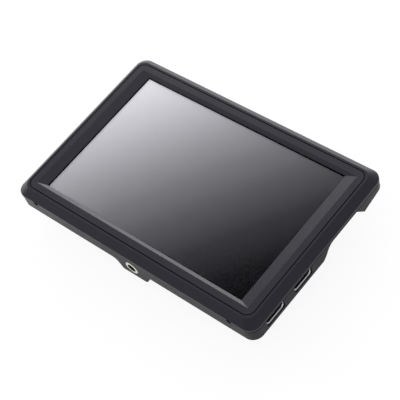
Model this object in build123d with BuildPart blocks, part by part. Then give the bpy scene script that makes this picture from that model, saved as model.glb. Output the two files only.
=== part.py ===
from build123d import *
import os

# A seven inch camera field monitor, lying on its back with the screen up. Sizes are in millimetres.
# +X is the right of the picture, +Y its top and +Z out of the screen. The origin is in the middle of
# the resting plane, which is the rear face of the battery plate.

# ---- Screen and front border ----
display_width = 151.2
display_height = 95.0
side_bevel_run = 6.7  # sloped inner side of the bezel, left and right
end_bevel_run = 2.3  # the same at the top and bottom
bevel_drop = 1.2
bezel_lip = 0.4  # upright lip between the bevel and the glass
bezel_flat = 4.3
bezel_corner_radius = 5.0
bezel_gap = 0.35  # shadow line between the bezel and the casing
rim_width = 1.65
rim_corner_radius = 5.6
slope_run = 4.0
slope_drop = 4.2
case_corner_radius = 7.0
rim_edge = 0.35  # bevel along the casing's rim

# ---- Depth, from the resting plane up ----
battery_plate_depth = 9.0
plateau_height = 7.65
cover_wall_height = 8.5
band_height = 2.3

# ---- Mouldings ----
cover_inset = 0.25  # the rear cover is this much smaller than the casing, all round
cover_wall = 1.8
cover_floor = 1.6
cover_edge_bevel = 0.5
casing_wall = 3.2
ledge_thickness = 2.0
tongue_height = 2.0
tongue_clearance = 0.15
shadow_gap_height = 0.5  # groove under the parting line, all round
shadow_gap_depth = 0.6
plateau_side_inset = 12.25
plateau_end_inset = 7.25
plateau_slope_run = 6.5
plateau_corner_radius = 7.0
plateau_edge = 0.8  # bevel round the plateau
plateau_overlap = 0.5  # the plateau runs this far into the floor beside it
scoop_from_port = 7.0  # start of the side scoop above the upper video port
scoop_curve_length = 14.0
scoop_flank_run = 6.4
scoop_from_top = 20.0
scoop_lip = 0.9  # cover wall left under the parting line in the scoop
facet_length = 24.0  # the back slopes up towards each top corner: along the side wall,
facet_width = 8.5  # along the top wall,
facet_rise = 4.8  # and this much at the corner
cut_margin = 1.0  # how far a cut runs past the wall it opens
peg_sides = 8  # round posts and screws inside are drawn with this many sides
head_sides = 16  # and the screw heads and seats that show

# ---- Tripod bump ----
bump_rear_width = 19.0
bump_foot_width = 25.6
bump_flare_radius = 4.0
bump_edge_radius = 1.2
bump_depth = 16.0
insert_above_rear = 8.05
insert_flange_radius = 4.7
insert_flange_thickness = 0.8
insert_radius = 4.0
insert_length = 9.5
thread_radius = 2.6  # minor radius of a 1/4-20 thread
thread_mouth_radius = 3.0
bracket_thickness = 1.0
bracket_foot_length = 16.0
bracket_screw_pitch = 8.0
foot_screw_bite = 1.0

# ---- Glass and panel ----
glass_side_overlap = 5.9
glass_end_overlap = 4.2
glass_thickness = 0.8
glass_clearance = 0.3
glass_corner_radius = 3.0
cell_thickness = 1.2
tray_inset = 1.2
tray_depth = 3.4
tray_sheet = 0.6
tray_clearance = 0.3
guide_thickness = 2.0
sheets_thickness = 0.6
led_strip_width = 2.0
led_depth = 1.0
led_height = 2.0
led_count = 18
bracket_sheet = 0.8
bracket_width = 6.0
bracket_grip = 6.0

# ---- Boards and sockets ----
board_panel_gap = 1.4
board_thickness = 1.2
board_clearance = 0.4
socket_opening_width = 15.5
socket_opening_height = 5.9
socket_opening_radius = 1.0
socket_width = 14.4
socket_height = 5.0
socket_depth = 10.5
socket_sheet = 0.35
socket_flare = 0.3  # the shell's mouth is bent outwards by this much
socket_flare_length = 0.5
socket_recess = 0.7
socket_tongue_width = 11.6
socket_tongue_height = 1.2
socket_chamfer = 1.4
first_port_from_bottom = 19.2
port_pitch = 24.5
usb_width = 8.9
usb_height = 3.2
usb_depth = 7.4
usb_sheet = 0.3
usb_tongue_width = 6.7
usb_tongue_height = 0.7
jack_radius = 1.8
jack_width = 6.0
jack_height = 4.4
jack_length = 14.6
jack_bore_depth = 14.0
jack_nose_radius = 2.3
socket_gap = 0.25  # clear space round a socket in the cover's wall
main_board_width = 60.0
main_board_length = 64.0
main_board_from_side = 10.5
main_board_from_wall = 12.0
main_post_from_edges = (4.0, 12.5, 7.0, 4.0)  # left, right, bottom and top
processor_from_bottom = 38.0
side_board_from_side = 26.5
side_board_from_wall = 14.0
side_board_length = 38.0
side_post_inset = 3.0
side_post_from_ends = 4.0
side_post_from_side = 8.0  # the outer post
usb_from_bottom = 42.0
jack_from_bottom = 24.0
processor_size = 19.0
processor_height = 1.8
memory_size = (9.0, 13.0)
memory_height = 1.0
pad_thickness = 1.0
sink_width = 34.0
sink_length = 40.0
sink_base = 1.8
sink_fin = 1.0
sink_fin_count = 9
sink_gap = 0.8  # between the fins and the cover
speaker_from_side = 46.5
speaker_from_bottom = 48.0
speaker_length = 28.0
speaker_width = 14.0
speaker_height = 4.5
cone_margin = 1.6  # from the speaker's edge to its sunk cone
cone_depth = 0.8
speaker_corner = 2.0
flex_thickness = 0.2
flex_reach = 8.0  # the panel's flat cable runs this far over the main board
flex_plug = 3.0
panel_flex_width = 24.0
panel_flex_from_left = 28.0  # along the main board
key_flex_width = 8.0
key_flex_from_left = 20.0

# ---- Keys ----
key_width = 8.0
key_height = 2.8
key_pitch = 13.0
key_recess = 0.5
key_proud = 0.15
key_ear = 0.9
key_ear_thickness = 1.0
key_clearance = 0.15
key_travel = 0.5
key_corner = 0.5
key_edge = 0.3
key_stem_width = 1.8
key_stem_length = 0.7
key_land_margin = 0.5
switch_size = 3.2
switch_depth = 2.2
key_board_thickness = 0.8
key_board_height = 4.6
key_names = ("power_key", "input_key", "menu_key", "down_key", "up_key", "function_key_1", "function_key_2")
light_pipe_radius = 1.0

# ---- Battery plate ----
plate_width = 46.0
plate_length = 70.0
plate_corner_radius = 3.0
plate_y = 6.0
battery_width = 38.4
battery_clearance = 0.2
battery_recess_depth = 4.4
plate_lip = 1.6
plate_lip_depth = 1.5
plate_lip_length = 14.0
plate_end_wall = 3.0
block_length = 6.0
block_width = 30.0
block_sink = 0.8  # the contact block stops this far short of the rails' faces
leg_width = 18.0
leg_depth = 3.0
leg_rise = 1.2
lead_thickness = 0.4
lead_width = 5.0
lead_plug_length = 4.0
blade_thickness = 0.8
blade_length = 5.0
blade_height = 2.4
blade_pitch = 8.0
latch_travel = 2.0
latch_clearance = 0.3
latch_pad_size = 10.0
latch_arm_width = 7.0
latch_arm_thickness = 1.2
latch_pin_length = 3.0
latch_ear_width = 14.0
latch_ear_length = 16.0
latch_ear_drop = 3.5
latch_edge = 0.5
latch_groove_count = 3
latch_groove_length = 7.0
latch_groove_width = 1.0
latch_groove_depth = 0.5
latch_groove_pitch = 2.5
latch_y = 27.0
latch_pin_x = 11.0
spring_radius = 2.4
spring_wire = 0.5
spring_turns = 3.0
spring_well_clearance = 0.5
spring_well_depth = 3.6
spring_well_wall = 1.2
plate_screw_x = 15.0
plate_screw_y = (-14.0, 35.0)
plate_boss_height = 4.0
vent_width = 2.0
vent_length = 24.0
vent_pitch = 4.0
vent_count = 8
speaker_slot_width = 1.2
speaker_slot_length = 14.0
speaker_slot_pitch = 3.0
speaker_slot_count = 7

# ---- Fasteners ----
cover_screw_radius = 1.25
cover_screw_head = 2.3
cover_screw_head_height = 1.3
cover_screw_from_side = 7.5
lower_screw_x = 34.0
screw_row_low = 5.2
boss_gap = 0.1
small_screw_radius = 1.0
small_screw_head = 1.9
small_screw_head_height = 0.8
screw_clearance = 0.1
screw_sink = 0.5
boss_wall = 1.6
screw_bite = 1.4

# ---- Hood slots ----
hood_slot_size = 3.3
hood_slot_from_side = 17.0
hood_slot_low = 1.0  # how far the slot reaches under the parting line
hood_slot_corner = 0.4

# ---- Outlines that follow from the sizes above ----
bezel_width = display_width + 2 * (side_bevel_run + bezel_flat)
bezel_height = display_height + 2 * (end_bevel_run + bezel_flat)
pocket_width = bezel_width + 2 * bezel_gap
pocket_height = bezel_height + 2 * bezel_gap
rim_outer_width = pocket_width + 2 * rim_width
rim_outer_height = pocket_height + 2 * rim_width
case_width = rim_outer_width + 2 * slope_run
case_height = rim_outer_height + 2 * slope_run
cover_width = case_width - 2 * cover_inset
cover_height = case_height - 2 * cover_inset
cover_radius = case_corner_radius - cover_inset
cavity_width = case_width - 2 * casing_wall
cavity_height = case_height - 2 * casing_wall
cavity_radius = case_corner_radius - casing_wall
inner_side = cover_width / 2 - cover_wall  # inner face of the cover's side walls
inner_end = cover_height / 2 - cover_wall  # inner face of its top and bottom walls
tongue_side = inner_side - tongue_clearance
tongue_end = inner_end - tongue_clearance
glass_width = display_width + 2 * glass_side_overlap
glass_height = display_height + 2 * glass_end_overlap
tray_width = glass_width - 2 * tray_inset
tray_height = glass_height - 2 * tray_inset

# ---- Levels ----
plateau_z = battery_plate_depth
shoulder_z = plateau_z + plateau_height
parting_z = shoulder_z + cover_wall_height
slope_foot_z = parting_z + band_height
rim_z = slope_foot_z + slope_drop
bevel_foot_z = rim_z - bevel_drop
seat_z = bevel_foot_z - bezel_lip  # top of the glass and of the ledge under the bezel
ledge_low_z = seat_z - ledge_thickness
cell_z = seat_z - glass_thickness - cell_thickness
tray_z = cell_z - tray_depth
board_top_z = tray_z - board_panel_gap
board_z = board_top_z - board_thickness
floor_z = shoulder_z + cover_floor  # inner floor beside the plateau
plateau_floor_z = plateau_z + cover_floor
tongue_z = parting_z - tongue_height

# ---- Places along the edges ----
port_y = [-case_height / 2 + first_port_from_bottom + port_pitch * i for i in range(2)]
socket_z = parting_z - socket_opening_height / 2
socket_mouth_x = cover_width / 2 - socket_recess
scoop_start_y = port_y[1] + socket_opening_width / 2 + scoop_from_port
scoop_end_y = case_height / 2 - scoop_from_top
scoop_top_z = parting_z - scoop_lip
key_z = (floor_z + tongue_z) / 2
key_x = [key_pitch * (i - (len(key_names) - 1) / 2) for i in range(len(key_names))]
insert_z = plateau_z + insert_above_rear
hood_slot_x = case_width / 2 - hood_slot_from_side
hood_slot_z = parting_z - hood_slot_low + hood_slot_size / 2
corner_x = case_width / 2 - cover_screw_from_side
corner_y = case_height / 2 - cover_screw_from_side
bottom_y = -case_height / 2
usb_y = bottom_y + usb_from_bottom
jack_y = bottom_y + jack_from_bottom
bracket_y = -(port_y[0] + port_y[1]) / 2

side_socket_z = board_z + board_thickness / 2
jack_z = floor_z + jack_height / 2 + screw_clearance
side_mouth_x = -socket_mouth_x
main_board_main_edge = case_width / 2 - main_board_from_side
main_board_left = main_board_main_edge - main_board_width
main_board_low = bottom_y + main_board_from_wall
main_board_top = main_board_low + main_board_length
main_post_x = (main_board_left + main_post_from_edges[0], main_board_main_edge - main_post_from_edges[1])
main_post_y = (main_board_low + main_post_from_edges[2], main_board_top - main_post_from_edges[3])
memory_gap = processor_size / 2 + memory_size[0]  # from the processor to each memory chip
processor_x = main_board_left + lead_plug_length + board_clearance + memory_gap + memory_size[0] / 2
processor_y = main_board_low + processor_from_bottom
side_board_right = side_board_from_side - case_width / 2
side_board_low = bottom_y + side_board_from_wall
side_board_high = side_board_low + side_board_length
side_post_x = side_board_right - side_post_inset
side_post_y = (side_board_low + side_post_from_ends, side_board_high - side_post_from_ends)
side_post_outer_x = side_post_from_side - case_width / 2
side_post_outer_y = (usb_y + jack_y) / 2
speaker_x = speaker_from_side - case_width / 2
speaker_y = bottom_y + speaker_from_bottom
panel_flex_x = main_board_left + panel_flex_from_left
key_flex_x = main_board_left + key_flex_from_left
plate_low_y = plate_y - plate_length / 2
plate_high_y = plate_y + plate_length / 2
leg_y = plate_low_y + plate_end_wall + block_length / 2
latch_x = plate_width / 2 + latch_ear_width / 2
light_pipe_x = key_x[0] - key_pitch

# ---- Places of the fasteners ----
boss_radius = cover_screw_radius + boss_wall
post_radius = small_screw_radius + boss_wall
post_top_z = (floor_z + parting_z) / 2  # where the cover's posts meet the casing's bosses
main_board_posts = [(x, y) for x in main_post_x for y in main_post_y]
side_board_posts = [(side_post_x, y) for y in side_post_y]
side_outer_post = [(side_post_outer_x, side_post_outer_y)]
bracket_half_width = bump_rear_width / 2 - cover_wall - bump_edge_radius - board_clearance
bracket_y_outer = -inner_end
bracket_foot_z = plateau_floor_z
bracket_foot_end_y = bracket_y_outer + bracket_foot_length
bracket_holes_y = bracket_foot_end_y - post_radius
bracket_hole_places = [(x, bracket_holes_y) for x in (-bracket_screw_pitch / 2, bracket_screw_pitch / 2)]
plate_screw_places = [(x, y) for x in (-plate_screw_x, plate_screw_x) for y in plate_screw_y]
cover_screw_places = [(x, y) for x in (-corner_x, corner_x) for y in (-corner_y, corner_y)]
bracket_web_x = (glass_width + tray_width) / 4 + bracket_sheet
bracket_foot_x = tray_width / 2 - bracket_grip
bracket_end_x = cavity_width / 2 - board_clearance
bracket_screw_x = (bracket_web_x + bracket_end_x) / 2
bracket_screw_places = [(x, y) for x in (-bracket_screw_x, bracket_screw_x) for y in (-bracket_y, bracket_y)]
cover_screw_places += [(x, screw_row_low - case_height / 2) for x in (-lower_screw_x, lower_screw_x)]

os.makedirs("parts", exist_ok=True)


def save(part, name):
    """Label a finished piece and write it."""
    part.label = name
    export_step(part, f"parts/{name}.step")


def slab(width, height, radius, low_z, high_z, mode=Mode.ADD):
    """A flat plate with rounded corners, centred on the axis, between two levels."""
    with BuildSketch(Plane.XY.offset(low_z)) as outline:
        RectangleRounded(width, height, radius)
    extrude(outline.sketch, amount=high_z - low_z, mode=mode)


def block(x_range, y_range, z_range, mode=Mode.ADD):
    """A square-edged block given by its limits along X, Y and Z."""
    with BuildSketch(Plane.XY.offset(z_range[0])) as outline:
        with Locations((sum(x_range) / 2, sum(y_range) / 2)):
            Rectangle(x_range[1] - x_range[0], y_range[1] - y_range[0])
    extrude(outline.sketch, amount=z_range[1] - z_range[0], mode=mode)


def around(centre, width):
    """The limits of a width about its centre."""
    return (centre - width / 2, centre + width / 2)


def pegs(places, radius, low_z, high_z, mode=Mode.ADD, sides=peg_sides):
    """Upright posts, or holes, at a list of places."""
    with BuildSketch(Plane.XY.offset(low_z)) as outline:
        with Locations(*places):
            RegularPolygon(radius, sides)
    extrude(outline.sketch, amount=high_z - low_z, mode=mode)


def hood_slots(inner_y, outer_y):
    """Cut the two hood slots through the bottom wall."""
    with BuildSketch(Plane.XZ.offset(inner_y)) as slots:
        with Locations((-hood_slot_x, hood_slot_z), (hood_slot_x, hood_slot_z)):
            Rectangle(hood_slot_size, hood_slot_size)
        chamfer(slots.vertices(), hood_slot_corner)
    extrude(slots.sketch, amount=outer_y - inner_y, mode=Mode.SUBTRACT)


# ---- Front casing: a sloped border with a ledge for the bezel and a tongue into the rear cover ----
with BuildPart() as front_casing:
    slab(case_width, case_height, case_corner_radius, parting_z, slope_foot_z)
    with BuildSketch(Plane.XY.offset(slope_foot_z)) as foot:
        RectangleRounded(case_width, case_height, case_corner_radius)
    with BuildSketch(Plane.XY.offset(rim_z - rim_edge)) as rim:
        RectangleRounded(rim_outer_width, rim_outer_height, rim_corner_radius)
    with BuildSketch(Plane.XY.offset(rim_z)) as top:
        radius = rim_corner_radius - rim_edge
        RectangleRounded(rim_outer_width - 2 * rim_edge, rim_outer_height - 2 * rim_edge, radius)
    loft([foot.sketch, rim.sketch, top.sketch], ruled=True)
    slab(pocket_width, pocket_height, bezel_corner_radius + bezel_gap, seat_z, rim_z, Mode.SUBTRACT)
    opening = (glass_width + 2 * glass_clearance, glass_height + 2 * glass_clearance)
    slab(*opening, glass_corner_radius + glass_clearance, parting_z, seat_z, Mode.SUBTRACT)
    slab(cavity_width, cavity_height, cavity_radius, parting_z, ledge_low_z, Mode.SUBTRACT)
    slab(2 * tongue_side, 2 * tongue_end, cover_radius - cover_wall, tongue_z, parting_z)
    slab(cavity_width, cavity_height, cavity_radius, tongue_z, parting_z, Mode.SUBTRACT)
    # the tongue is cut away behind the sockets and over the scoops
    right = (cavity_width / 2 - casing_wall, case_width / 2)
    left = (-right[1], -right[0])
    notch = (tongue_z, parting_z)
    for y in port_y:
        block(right, around(y, socket_opening_width + cut_margin), notch, Mode.SUBTRACT)
    for y in (usb_y, jack_y):
        block(left, around(y, socket_opening_width), notch, Mode.SUBTRACT)
    for side in (left, right):
        span = (scoop_start_y - cover_wall - cut_margin, scoop_end_y + cover_wall + cut_margin)
        block(side, span, notch, Mode.SUBTRACT)
    # bosses for the rear cover's screws, then their holes
    pegs(cover_screw_places, boss_radius, post_top_z + boss_gap, ledge_low_z)
    pegs(cover_screw_places, cover_screw_radius, post_top_z, ledge_low_z, Mode.SUBTRACT)
    pegs(bracket_screw_places, small_screw_radius, ledge_low_z, ledge_low_z + screw_bite, Mode.SUBTRACT)
    hood_slots(cavity_height / 2 - cut_margin, case_height / 2 + cut_margin)
save(front_casing.part, "front_casing")

# ---- Screen bezel: a ring with bevelled inner sides that meet in sharp mitres ----
with BuildPart() as screen_bezel:
    slab(bezel_width, bezel_height, bezel_corner_radius, seat_z, rim_z)
    with BuildSketch(Plane.XY.offset(bevel_foot_z)) as foot:
        Rectangle(display_width, display_height)
    with BuildSketch(Plane.XY.offset(rim_z)) as mouth:
        Rectangle(display_width + 2 * side_bevel_run, display_height + 2 * end_bevel_run)
    loft([foot.sketch, mouth.sketch], mode=Mode.SUBTRACT)
    extrude(foot.sketch, amount=-bezel_lip, mode=Mode.SUBTRACT)
save(screen_bezel.part, "screen_bezel")

# ---- Panel stack: cover glass, cell, sheets, light guide and tray ----
with BuildPart() as cover_glass:
    slab(glass_width, glass_height, glass_corner_radius, seat_z - glass_thickness, seat_z)
save(cover_glass.part, "cover_glass")

with BuildPart() as lcd_cell:
    slab(tray_width, tray_height, tray_clearance, cell_z, cell_z + cell_thickness)
save(lcd_cell.part, "lcd_cell")

inside_width = tray_width - 2 * (tray_sheet + tray_clearance)
inside_height = tray_height - 2 * (tray_sheet + tray_clearance)
guide_z = tray_z + tray_sheet

with BuildPart() as backlight_tray:
    slab(tray_width, tray_height, tray_clearance + tray_sheet, tray_z, cell_z)
    slab(
        tray_width - 2 * tray_sheet,
        tray_height - 2 * tray_sheet,
        tray_clearance,
        guide_z,
        cell_z,
        Mode.SUBTRACT,
    )
save(backlight_tray.part, "backlight_tray")

strip_edge_y = -inside_height / 2 + led_strip_width
with BuildPart() as light_guide:
    block(
        (-inside_width / 2, inside_width / 2),
        (strip_edge_y + tray_clearance, inside_height / 2),
        (guide_z, guide_z + guide_thickness),
    )
save(light_guide.part, "light_guide")

with BuildPart() as diffuser_sheets:
    block(
        (-inside_width / 2, inside_width / 2),
        (-inside_height / 2, inside_height / 2),
        (guide_z + guide_thickness, guide_z + guide_thickness + sheets_thickness),
    )
save(diffuser_sheets.part, "diffuser_sheets")

with BuildPart() as led_strip:
    led_pitch = inside_width / led_count
    backing = (-inside_height / 2, strip_edge_y - led_depth)
    block((-inside_width / 2, inside_width / 2), backing, (guide_z, guide_z + led_height))
    with BuildSketch(Plane.XY.offset(guide_z)) as lamps:
        with Locations((0, strip_edge_y - led_depth / 2)):
            with GridLocations(led_pitch, led_depth, led_count, 1):
                Rectangle(led_pitch / 2, led_depth)
    extrude(lamps.sketch, amount=led_height)
save(led_strip.part, "led_strip")

# ---- Brackets that hang the tray under the casing's ledge, with their screws ----
with BuildPart() as panel_brackets:
    for y in (-bracket_y, bracket_y):
        width = around(y, bracket_width)
        block((bracket_web_x, bracket_end_x), width, (ledge_low_z - bracket_sheet, ledge_low_z))
        block((bracket_web_x, bracket_web_x + bracket_sheet), width, (tray_z - bracket_sheet, ledge_low_z))
        block((bracket_foot_x, bracket_web_x), width, (tray_z - bracket_sheet, tray_z))
    pegs(
        [(bracket_screw_x, y) for y in (-bracket_y, bracket_y)],
        small_screw_radius + screw_clearance,
        ledge_low_z - bracket_sheet,
        ledge_low_z,
        Mode.SUBTRACT,
    )
    mirror(about=Plane.YZ)
save(panel_brackets.part, "panel_brackets")

with BuildPart() as panel_screws:
    head_z = ledge_low_z - bracket_sheet - small_screw_head_height
    pegs(bracket_screw_places, small_screw_head, head_z, head_z + small_screw_head_height)
    pegs(bracket_screw_places, small_screw_radius, head_z, ledge_low_z + screw_bite)
save(panel_screws.part, "panel_screws")


# ---- Rear cover ----
def scoop_cutter(grow):
    """What a side scoop takes out of the cover, or out of its hollow when grown by the wall."""
    side = cover_width / 2
    low = plateau_z
    start = scoop_start_y - grow
    top = scoop_top_z + grow * 2 ** 0.5
    end = scoop_end_y + grow
    with BuildPart() as cutter:
        with BuildSketch(Plane.YZ.offset(side - cover_wall_height - grow * 3)):
            with BuildLine():
                Polyline((start, shoulder_z), (start, low), (end, low), (end, shoulder_z))
                Line((end, shoulder_z), (end - scoop_flank_run, top))
                Line((end - scoop_flank_run, top), (start + scoop_curve_length, top))
                middle = start + scoop_curve_length / 2
                curve_end = start + scoop_curve_length
                Bezier((curve_end, top), (middle, top), (middle, shoulder_z), (start, shoulder_z))
            make_face()
        extrude(amount=cover_wall_height + grow * 3 + cut_margin)
        with BuildSketch(Plane.XZ.offset(-end - cut_margin)):
            with BuildLine():
                run = top - low
                out = side + cut_margin
                Polyline((out, top + cut_margin), (side - run, low), (out, low), close=True)
            make_face()
        extrude(amount=end - start + 2 * cut_margin, mode=Mode.INTERSECT)
    return cutter.part


def plateau_form(wall, floor, edge):
    """The raised middle of the cover with sloped sides, or its hollow when a wall and a floor are given."""
    side = cover_width / 2 - plateau_side_inset - wall
    end = cover_height / 2 - plateau_end_inset - wall
    foot_radius = plateau_corner_radius + plateau_slope_run
    with BuildPart() as form:
        with BuildSketch(Plane.XY.offset(shoulder_z + floor + plateau_overlap)) as foot:
            RectangleRounded(2 * side, 2 * end, foot_radius)
        with BuildSketch(Plane.XY.offset(plateau_z + floor)) as top:
            run = plateau_slope_run
            RectangleRounded(2 * (side - run), 2 * (end - run), plateau_corner_radius)
        loft([foot.sketch, top.sketch], ruled=True)
        if edge:
            chamfer(form.faces().sort_by(Axis.Z)[0].edges(), edge)
    return form.part


def bump_form(wall, floor):
    """The bump that carries the tripod thread, or its hollow."""
    foot = bump_foot_width / 2 - wall
    rear = bump_rear_width / 2 - wall
    side = foot + 2 * bump_flare_radius
    level = shoulder_z + floor
    with BuildSketch(Plane.XZ.offset(cover_height / 2 - bump_depth)) as profile:
        with BuildLine():
            Polyline(
                (-side, level + plateau_overlap),
                (-side, level),
                (-foot, level),
                (-rear, plateau_z + floor),
                (rear, plateau_z + floor),
                (foot, level),
                (side, level),
                (side, level + plateau_overlap),
                close=True,
            )
        make_face()
        flares = profile.vertices().filter_by(lambda corner: abs(corner.X) < side - bump_flare_radius)
        fillet(flares.group_by(Axis.Y)[-1], bump_flare_radius)
        fillet(profile.vertices().group_by(Axis.Y)[0], bump_edge_radius)
    extrude(profile.sketch, amount=bump_depth - wall)


def corner_facet(level):
    """What the back loses where it slopes up towards the top right corner."""
    low = Vector(case_width / 2, case_height / 2 - facet_length, level)
    end = Vector(case_width / 2 - facet_width, case_height / 2, level)
    peak = Vector(case_width / 2, case_height / 2, level + facet_rise)
    with BuildPart() as wedge:
        with BuildSketch(Plane(origin=low, z_dir=(end - low).cross(peak - low))):
            Rectangle(case_width, case_width)
        extrude(amount=facet_length)
    return wedge.part


def cut_both_sides(tool):
    """Cut a tool, and its mirror image, out of the piece being built."""
    add(tool, mode=Mode.SUBTRACT)
    add(mirror(tool, about=Plane.YZ, mode=Mode.PRIVATE), mode=Mode.SUBTRACT)


def on_back_rim(edge):
    """Whether an edge runs round the outside of the cover's back."""
    middle = edge.center()
    beside = abs(middle.X) > cover_width / 2 - cover_radius
    beyond = abs(middle.Y) > cover_height / 2 - cover_radius
    return middle.Z < shoulder_z + plateau_overlap and (beside or beyond)


with BuildPart() as cover_hollow:
    slab(2 * inner_side, 2 * inner_end, cover_radius - cover_wall, floor_z, parting_z)
    bump_form(cover_wall, cover_floor)
    cut_both_sides(corner_facet(shoulder_z + cover_wall))
    add(plateau_form(cover_wall, cover_floor, 0))
    cut_both_sides(scoop_cutter(cover_wall))

with BuildPart() as rear_cover:
    slab(cover_width, cover_height, cover_radius, shoulder_z, parting_z)
    bump_form(0, 0)
    # bevel the back's outer edge, on round the front of the bump
    chamfer(rear_cover.edges().filter_by(on_back_rim), cover_edge_bevel)
    cut_both_sides(corner_facet(shoulder_z))
    add(plateau_form(0, 0, plateau_edge))
    cut_both_sides(scoop_cutter(0))
    add(cover_hollow.part, mode=Mode.SUBTRACT)
    # screw posts at the corners and lower edge, each with a sunk seat for its head
    pegs(cover_screw_places, boss_radius, floor_z, post_top_z)
    pegs(cover_screw_places, cover_screw_radius + screw_clearance, shoulder_z, post_top_z, Mode.SUBTRACT)
    seat_radius = cover_screw_head + screw_clearance
    head_seat_z = shoulder_z + screw_sink + cover_screw_head_height
    pegs(cover_screw_places, seat_radius, shoulder_z, head_seat_z, Mode.SUBTRACT, head_sides)
    # posts for the two boards
    pegs(main_board_posts + side_board_posts, post_radius, plateau_floor_z, board_z)
    pegs(side_outer_post, post_radius, floor_z, board_z)
    pilots = main_board_posts + side_board_posts + side_outer_post
    pegs(pilots, small_screw_radius, board_z - screw_bite * 2, board_z, Mode.SUBTRACT)
    # bosses for the battery plate's screws, and the well for the latch spring
    boss_top_z = plateau_floor_z + plate_boss_height
    pegs(plate_screw_places, post_radius, plateau_floor_z, boss_top_z)
    pegs(plate_screw_places, small_screw_radius, plateau_z, boss_top_z, Mode.SUBTRACT)
    well_radius = spring_radius + spring_wire / 2 + spring_well_clearance
    well_top_z = plateau_z + spring_well_depth
    pegs([(latch_x, latch_y)], well_radius + spring_well_wall, plateau_floor_z, well_top_z + spring_well_wall)
    pegs([(latch_x, latch_y)], well_radius, plateau_z, well_top_z, Mode.SUBTRACT)
    bite_z = bracket_foot_z - foot_screw_bite
    pegs(bracket_hole_places, small_screw_radius, bite_z, bracket_foot_z, Mode.SUBTRACT)
    # window for the legs of the battery contact block
    leg_window = (around(0, leg_width + 2 * latch_clearance), around(leg_y, leg_depth + 2 * latch_clearance))
    block(*leg_window, (plateau_z, plateau_floor_z), Mode.SUBTRACT)
    # vents under the heat sink and slots under the speaker
    with BuildSketch(Plane.XY.offset(plateau_z)) as slots:
        with Locations((processor_x, processor_y)):
            with GridLocations(vent_pitch, 1, vent_count, 1):
                Rectangle(vent_width, vent_length)
        with Locations((speaker_x, speaker_y)):
            with GridLocations(speaker_slot_pitch, 1, speaker_slot_count, 1):
                Rectangle(speaker_slot_width, speaker_slot_length)
    extrude(slots.sketch, amount=cover_floor, mode=Mode.SUBTRACT)
    # video socket openings, open at the parting line
    with BuildSketch(Plane.YZ.offset(inner_side - cut_margin)) as ports:
        with Locations(*[(y, parting_z) for y in port_y]):
            RectangleRounded(socket_opening_width, 2 * socket_opening_height, socket_opening_radius)
    extrude(ports.sketch, amount=cover_wall + 2 * cut_margin, mode=Mode.SUBTRACT)
    # the small sockets on the other side
    with BuildSketch(Plane.YZ.offset(-cover_width / 2 - cut_margin)) as holes:
        with Locations((usb_y, side_socket_z)):
            SlotOverall(usb_width + 2 * socket_gap, usb_height + 2 * socket_gap)
        with Locations((jack_y, jack_z)):
            Circle(jack_nose_radius + socket_gap)
    extrude(holes.sketch, amount=cover_wall + 2 * cut_margin, mode=Mode.SUBTRACT)
    # a sunk land along the top wall, with the holes for the keys and the light pipe
    land_y = cover_height / 2 - key_recess
    with BuildSketch(Plane.XZ.offset(-land_y)) as land:
        with Locations((0, key_z)):
            SlotOverall(key_pitch - 2 * light_pipe_x, key_height + 2 * (key_recess + key_land_margin))
    extrude(land.sketch, amount=-key_recess - cut_margin, mode=Mode.SUBTRACT)
    with BuildSketch(Plane.XZ.offset(-land_y - cut_margin)) as holes:
        with Locations(*[(x, key_z) for x in key_x]):
            Rectangle(key_width + 2 * key_clearance, key_height + 2 * key_clearance)
        chamfer(holes.vertices(), key_corner)
        with Locations((light_pipe_x, key_z)):
            Circle(light_pipe_radius + screw_clearance)
    extrude(holes.sketch, amount=cover_wall + 2 * cut_margin, mode=Mode.SUBTRACT)
    # seat of the tripod insert
    with BuildSketch(Plane.XZ.offset(inner_end - cut_margin)) as seat:
        with Locations((0, insert_z)):
            Circle(insert_radius)
    extrude(seat.sketch, amount=cover_wall + 2 * cut_margin, mode=Mode.SUBTRACT)
    with BuildSketch(Plane.XZ.offset(cover_height / 2 - insert_flange_thickness)) as seat:
        with Locations((0, insert_z)):
            Circle(insert_flange_radius)
    extrude(seat.sketch, amount=insert_flange_thickness + cut_margin, mode=Mode.SUBTRACT)
    # a groove under the parting line, which shows as a dark line all round
    with BuildSketch(Plane.XY.offset(parting_z - shadow_gap_height)) as groove:
        RectangleRounded(cover_width, cover_height, cover_radius)
        offset(amount=cut_margin)
        inner = (cover_width - 2 * shadow_gap_depth, cover_height - 2 * shadow_gap_depth)
        RectangleRounded(*inner, cover_radius - shadow_gap_depth, mode=Mode.SUBTRACT)
    extrude(groove.sketch, amount=shadow_gap_height, mode=Mode.SUBTRACT)
    # the hood slots reach down into the cover's wall
    hood_slots(inner_end - cut_margin, case_height / 2 + cut_margin)
save(rear_cover.part, "rear_cover")

with BuildPart() as cover_screws:
    head_low_z = shoulder_z + screw_sink
    pegs(cover_screw_places, cover_screw_head, head_low_z, head_seat_z, sides=head_sides)
    pegs(cover_screw_places, cover_screw_radius, head_low_z, ledge_low_z - screw_bite)
save(cover_screws.part, "cover_screws")

# ---- Tripod insert and the bracket behind it ----
with BuildPart() as mount_insert:
    with BuildSketch(Plane.XZ.offset(cover_height / 2 - insert_length)):
        with Locations((0, insert_z)):
            Circle(insert_radius)
    extrude(amount=insert_length - insert_flange_thickness)
    with BuildSketch(Plane.XZ.offset(cover_height / 2 - insert_flange_thickness)):
        with Locations((0, insert_z)):
            Circle(insert_flange_radius)
    extrude(amount=insert_flange_thickness)
    with BuildSketch(Plane.XZ.offset(cover_height / 2 - insert_length)):
        with Locations((0, insert_z)):
            Circle(thread_radius)
    extrude(amount=insert_length, mode=Mode.SUBTRACT)
    mouth = mount_insert.faces().sort_by(Axis.Y)[0].inner_wires()[0]
    chamfer(mouth.edges(), thread_mouth_radius - thread_radius)
save(mount_insert.part, "mount_insert")

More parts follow.
